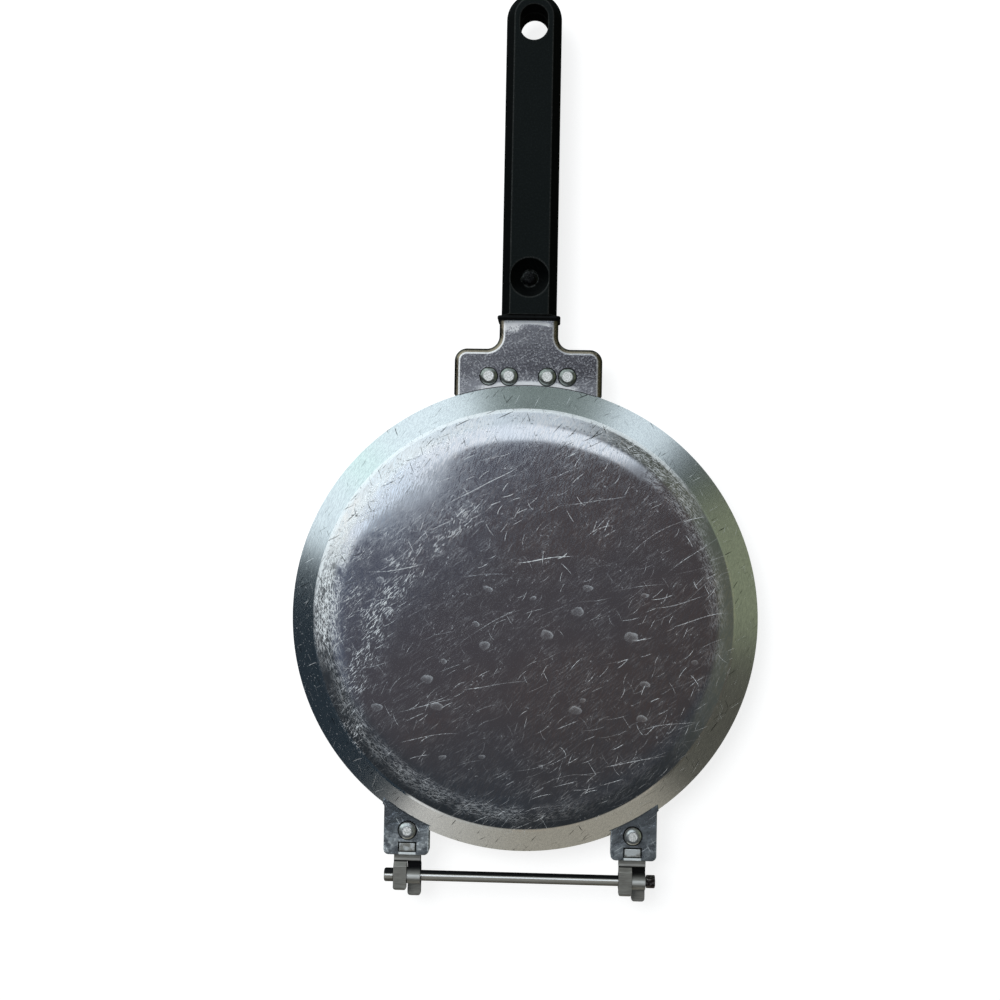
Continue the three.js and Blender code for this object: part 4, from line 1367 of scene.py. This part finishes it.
def make_grip(name):
    tang_top = TANG_Z + BRACKET_SHEET + FIT
    cutters = [
        dimple_cutter(),
        hang_hole_cutter(),
        box_cutter(TANG_HALF_W + FIT, grip_low[1] - CUT, TANG_END_Y + FIT, tang_top),
        peg_cutter(SCREW_HEAD_R + FIT, SCREW_TOP - SCREW_HEAD_H - FIT, SCREW_TOP + CUT),
        peg_cutter(SCREW_R + FIT, 0, SCREW_TOP),
    ]
    for i in range(POCKETS):
        start = TANG_END_Y + POCKET_START + i * (POCKET_LENGTH + POCKET_RIB)
        cutters.append(box_cutter(POCKET_W / 2, start, start + POCKET_LENGTH, POCKET_Z))
    grip = link_mesh(name, grip_shell(), [GRIP_SIDE, GRIP_TOP, GRIP_EDGE_PAINTED_HIGHLIGHT])
    for cutter in cutters:
        cut_out(grip, cutter)
    soften(grip, GRIP_EDGE, COAT_EDGE_PAINTED_HIGHLIGHT)
    return grip


def screw_shell():
    """Screw at the bottom of the dimple, with a rounded head."""
    seat = SCREW_TOP - SCREW_HEAD_H
    profile = [(0, SCREW_END_Z), (SCREW_R, SCREW_END_Z), (SCREW_R, seat), (SCREW_HEAD_R, seat)]
    profile += dome(SCREW_HEAD_R, SCREW_FLAT_R, seat + SCREW_SIDE_H, SCREW_TOP, ARC_STEPS)
    return Shell().add(turned([*profile, (0, SCREW_TOP)], RIVET_SIDES), move=(0, SCREW_Y, 0))


def screw_slots():
    """The two slots of the cross in the screw's head."""
    cutters = []
    for half_x, half_y in ((SCREW_R, SCREW_SLOT_W / 2), (SCREW_SLOT_W / 2, SCREW_R)):
        low = SCREW_TOP - SCREW_SLOT_DEPTH
        cutters.append(box_cutter(half_x, SCREW_Y - half_y, SCREW_Y + half_y, SCREW_TOP + CUT, low))
    return cutters


# Assembly

LINING = lining_finish()
BRACKET = bracket_finish()
# The same rivet aluminium in two tones: darker on the sides of the bracket rivets as painted shade, lighter
# on the hinge rivets' domes as a painted highlight.
BRACKET_RIVET = rivet_finish("bracket_rivet_side", (0.3, 0.32, 0.29, 1), (0.5, 0.52, 0.48, 1))
HINGE_RIVET = rivet_finish("hinge_rivet_side", (0.62, 0.64, 0.62, 1), (0.88, 0.89, 0.88, 1))
RIVET_FLAT = rivet_flat_finish()
HINGE = hinge_finish()
ROD = rod_finish()
ROD_END = rod_end_finish()
# One black plastic in three tones: the sides darker as painted shade, the top, and the rounded edges lighter
# as a painted highlight.
GRIP_SIDE = grip_finish("grip_side", 0.03, (0.0006, 0.0008, 0.0008, 1), (0.002, 0.0025, 0.0025, 1))
GRIP_TOP = grip_finish("grip_top", 0.15, (0.0028, 0.0043, 0.0043, 1), (0.007, 0.0098, 0.0098, 1))
GRIP_EDGE_PAINTED_HIGHLIGHT = grip_finish("grip_edge_painted_highlight", 0.15, (0.012, 0.0135, 0.013, 1), (0.03, 0.033, 0.032, 1))
COLLAR = collar_finish()
SCREW = screw_finish()


def place_half(half, toe, right_side, seed):
    """All the pieces of one half. right_side is the drawn side that ends up on the right of the shut pan."""

    def seat(obj, slot, *nodes):
        settle(obj, half, f"{half}_half", slot, *[f"{half}_{node}" for node in nodes])

    def piece(name, shell, finishes, slot, *nodes, cutters=()):
        made = link_mesh(f"{half}_{name}", shell, finishes)
        for cutter in cutters:
            cut_out(made, cutter)
        seat(made, slot, *nodes)
        return made

    base = pan_base_finish(f"{half}_pan_base", seed)
    wall = pan_wall_finish(f"{half}_pan_wall", seed + 30)
    pan = piece("pan_shell", pan_shell(), [base, LINING, wall], "pan_aluminium", "pan")
    pan.visible_glossy = True
    ears = ear_finish(f"{half}_pan_ears", seed + 34)
    piece("pan_ears", ears_shell(), [ears, wall], "pan_aluminium")
    seat(bracket_mesh(f"{half}_bracket_tray", BRACKET), "bracket_metal", "bracket")
    piece("bracket_tang", tang_shell(), [BRACKET], "bracket_metal")
    rivet_xs = (-BRACKET_RIVET_X, -BRACKET_RIVET_INNER_X, BRACKET_RIVET_INNER_X, BRACKET_RIVET_X)
    heights = (RIVET_TAIL_Z, BRACKET_RIVET_TOP)
    finishes = [BRACKET_RIVET, RIVET_FLAT]
    for number, x in enumerate(rivet_xs, start=1):
        shell = rivet_shell(right_side * x, BRACKET_RIVET_Y, *heights, BRACKET_RIVET_FLAT_R)
        name = f"bracket_rivet_head_{number}"
        piece(name, shell, finishes, "rivet_aluminium", f"bracket_rivet_{number}")
    heights = (RIM_Z, HINGE_RIVET_TOP)
    finishes = [HINGE_RIVET, RIVET_FLAT]
    for hand, side in (("left", -right_side), ("right", right_side)):
        shell = leaf_shell(side, toe)
        cutters = (toe_cutter(side, toe), eye_cutter(side))
        name = f"hinge_leaf_{hand}"
        piece(f"{name}_steel", shell, [HINGE], "hinge_steel", name, cutters=cutters)
        shell = rivet_shell(side * HINGE_X, HINGE_RIVET_Y, *heights, HINGE_RIVET_FLAT_R)
        name = f"hinge_rivet_head_{hand}"
        piece(name, shell, finishes, "rivet_aluminium", f"hinge_rivet_{hand}")
    piece("collar_ring", collar_shell(), [COLLAR], "collar_plastic", "collar")
    seat(make_grip(f"{half}_grip_moulding"), "grip_plastic", "grip")
    piece("grip_screw_steel", screw_shell(), [SCREW], "screw_steel", "grip_screw", cutters=screw_slots())
    nut = frame["nodes"][f"{half}_tang_nut"]
    nut.data.materials.clear()
    nut.data.materials.append(HINGE)


place_half("upper", UPPER_TOE, 1, 3)
place_half("lower", LOWER_TOE, -1, 40)
rod = link_mesh("hinge_rod_steel", rod_shell(), [ROD])
settle(rod, "upper", "hinge_pin", "rod_steel", "hinge_rod")
cap = link_mesh("rod_end_cap_steel", cap_shell(), [ROD_END])
settle(cap, "upper", "hinge_pin", "rod_end_steel", "rod_end_cap")

# Floor, light and camera

FLOOR_R = 4000.0
FLOOR_SIDES = 96


def make_floor():
    profile = [(FLOOR_R, 0), (0, 0)]
    floor = link_mesh("floor", Shell().add(turned(profile, FLOOR_SIDES)), [floor_finish()])
    floor.visible_glossy = False


# What stands round the pan: middle and half width in degrees clockwise from the handle, softness and colour.
LOW_DIM = (0.022, 0.033, 0.043, 1)
LOW_PANELS = (
    (3, 20, 3, (0.2, 0.25, 0.24, 1)),
    (32, 10, 3, (0.82, 0.96, 1.02, 1)),
    (82, 26, 12, (0.21, 0.24, 0.16, 1)),
    (122, 22, 9, (0.085, 0.085, 0.07, 1)),
    (179, 37, 4, (0.34, 0.325, 0.27, 1)),
    (203, 13, 12, (0.5, 0.5, 0.46, 1)),
    (207.5, 5, 3, (0.68, 0.68, 0.64, 1)),
    (236, 25, 1, LOW_DIM),
    (314, 31, 2, (0.9, 1.06, 1.12, 1)),
    (309, 4, 4, (0.8, 1.12, 1.06, 1)),
)
SIDE_DIM = (0.046, 0.053, 0.06, 1)
SIDE_PANELS = (
    (190, 62, 22, (0.022, 0.026, 0.03, 1)),
    (75, 45, 25, (0.095, 0.106, 0.085, 1)),
    (0, 20, 14, (0.6, 0.69, 0.76, 1)),
    (312, 30, 9, (0.92, 1.02, 1.05, 1)),
    (340, 12, 9, (0.74, 0.86, 0.94, 1)),
)
OVERHEAD_DIM = (0.052, 0.046, 0.047, 1)
OVERHEAD = (0.063, 0.057, 0.063, 1)
OVERHEAD_HAZE = (0.093, 0.107, 0.146, 1)
OVERHEAD_LOW = (0.036, 0.04, 0.047, 1)
GLOW = (0.82, 0.92, 1.02, 1)
UNDERNEATH = (0.012, 0.012, 0.012, 1)
BACKDROP = (0.93, 0.93, 0.93, 1)


def stand_panels(sky, turn_deg, light, panels):
    """Adds each panel over the light that is there."""
    for middle, half, soft, colour in panels:
        away = abs(((turn_deg - middle) / 360 + 1.5).fraction() - 0.5) * 360
        light = sky.blend(away.rise(half + soft, half - soft), light, colour)
    return light


def overhead_light(sky, x, y, z):
    """What hangs over the pan, by direction: a dim ceiling, hazy to the upper left, and a bright panel."""
    upper_left = 0.7 * y - 0.7 * x
    ceiling = sky.blend(upper_left.rise(-0.16, 0.0), OVERHEAD_DIM, OVERHEAD)
    ceiling = sky.blend(upper_left.rise(0.0, 0.095), ceiling, OVERHEAD_HAZE)
    ceiling = sky.blend(y.rise(-0.12, -0.2), ceiling, OVERHEAD_LOW)
    beside = x + 0.121
    edge = y - 0.003 - 0.53 * beside.most(0).least(0.045) + 0.12 * beside.least(0)
    edge = edge - 0.048 * x.rise(-0.084, -0.07)
    right = (0.8 * y + 0.02 - x).rise(-0.02, 0.05) * (1 - x.rise(0.0, 0.06) * z.rise(0.95, 0.88))
    return sky.blend(edge.rise(-0.006, 0.01) * right, ceiling, GLOW)


def make_surroundings():
    """Panels and a ceiling that light the pan, and a plain backdrop that only the camera sees."""
    world = bpy.data.worlds.new("studio")
    bpy.context.scene.world = world
    world.use_nodes = True
    sky = Board(world.node_tree)
    x, y, z = sky.axes(sky.node("ShaderNodeTexCoord", {}, {}, "Generated"))
    turn_deg = x.maths("ARCTAN2", y) * (180 / math.pi)
    low = stand_panels(sky, turn_deg, LOW_DIM, LOW_PANELS)
    side = stand_panels(sky, turn_deg, SIDE_DIM, SIDE_PANELS)
    light = sky.blend(z.rise(0.04, 0.24), low, side)
    light = sky.blend(z.rise(-0.45, -0.7), light, UNDERNEATH)
    light = sky.blend(z.rise(0.84, 0.96), light, overhead_light(sky, x, y, z))
    seen = sky.node("ShaderNodeLightPath", {}, {}, "Is Camera Ray")
    shown = sky.blend(seen, light, BACKDROP)
    background = sky.node("ShaderNodeBackground", {}, {"Color": shown, "Strength": 1.0})
    sky.node("ShaderNodeOutputWorld", {}, {"Surface": background})


# Key light, in watts and metres.
KEY_POWER = 19
KEY_SIZE = 0.9
KEY_PLACE = (-0.55, 0.6, 1.5)


def make_key_light():
    """Large soft light from the upper left, which shades the floor and the plastic."""
    data = bpy.data.lights.new("key", "AREA")
    data.energy = KEY_POWER
    data.size = KEY_SIZE
    key = stand("key", data)
    key.location = KEY_PLACE
    key.rotation_euler = Vector(KEY_PLACE).to_track_quat("Z", "Y").to_euler()
    key.visible_glossy = False


SENSOR_W = 36
PHOTO_PIXELS = 1000
FOCAL_PIXELS = 1458
CAMERA_PLACE = (14.1, 44.5, 716.0)
CAMERA_TILT_DEG = (0.94, 2.18, 1.03)


def make_camera():
    data = bpy.data.cameras.new("camera")
    data.sensor_width = SENSOR_W
    data.lens = data.sensor_width * FOCAL_PIXELS / PHOTO_PIXELS
    camera = stand("camera", data)
    camera.location = [c * MM for c in CAMERA_PLACE]
    camera.rotation_mode = "ZYX"
    camera.rotation_euler = [math.radians(angle) for angle in CAMERA_TILT_DEG]
    bpy.context.scene.camera = camera


make_floor()
make_surroundings()
make_key_light()
make_camera()
bpy.context.scene.view_settings.view_transform = "Standard"
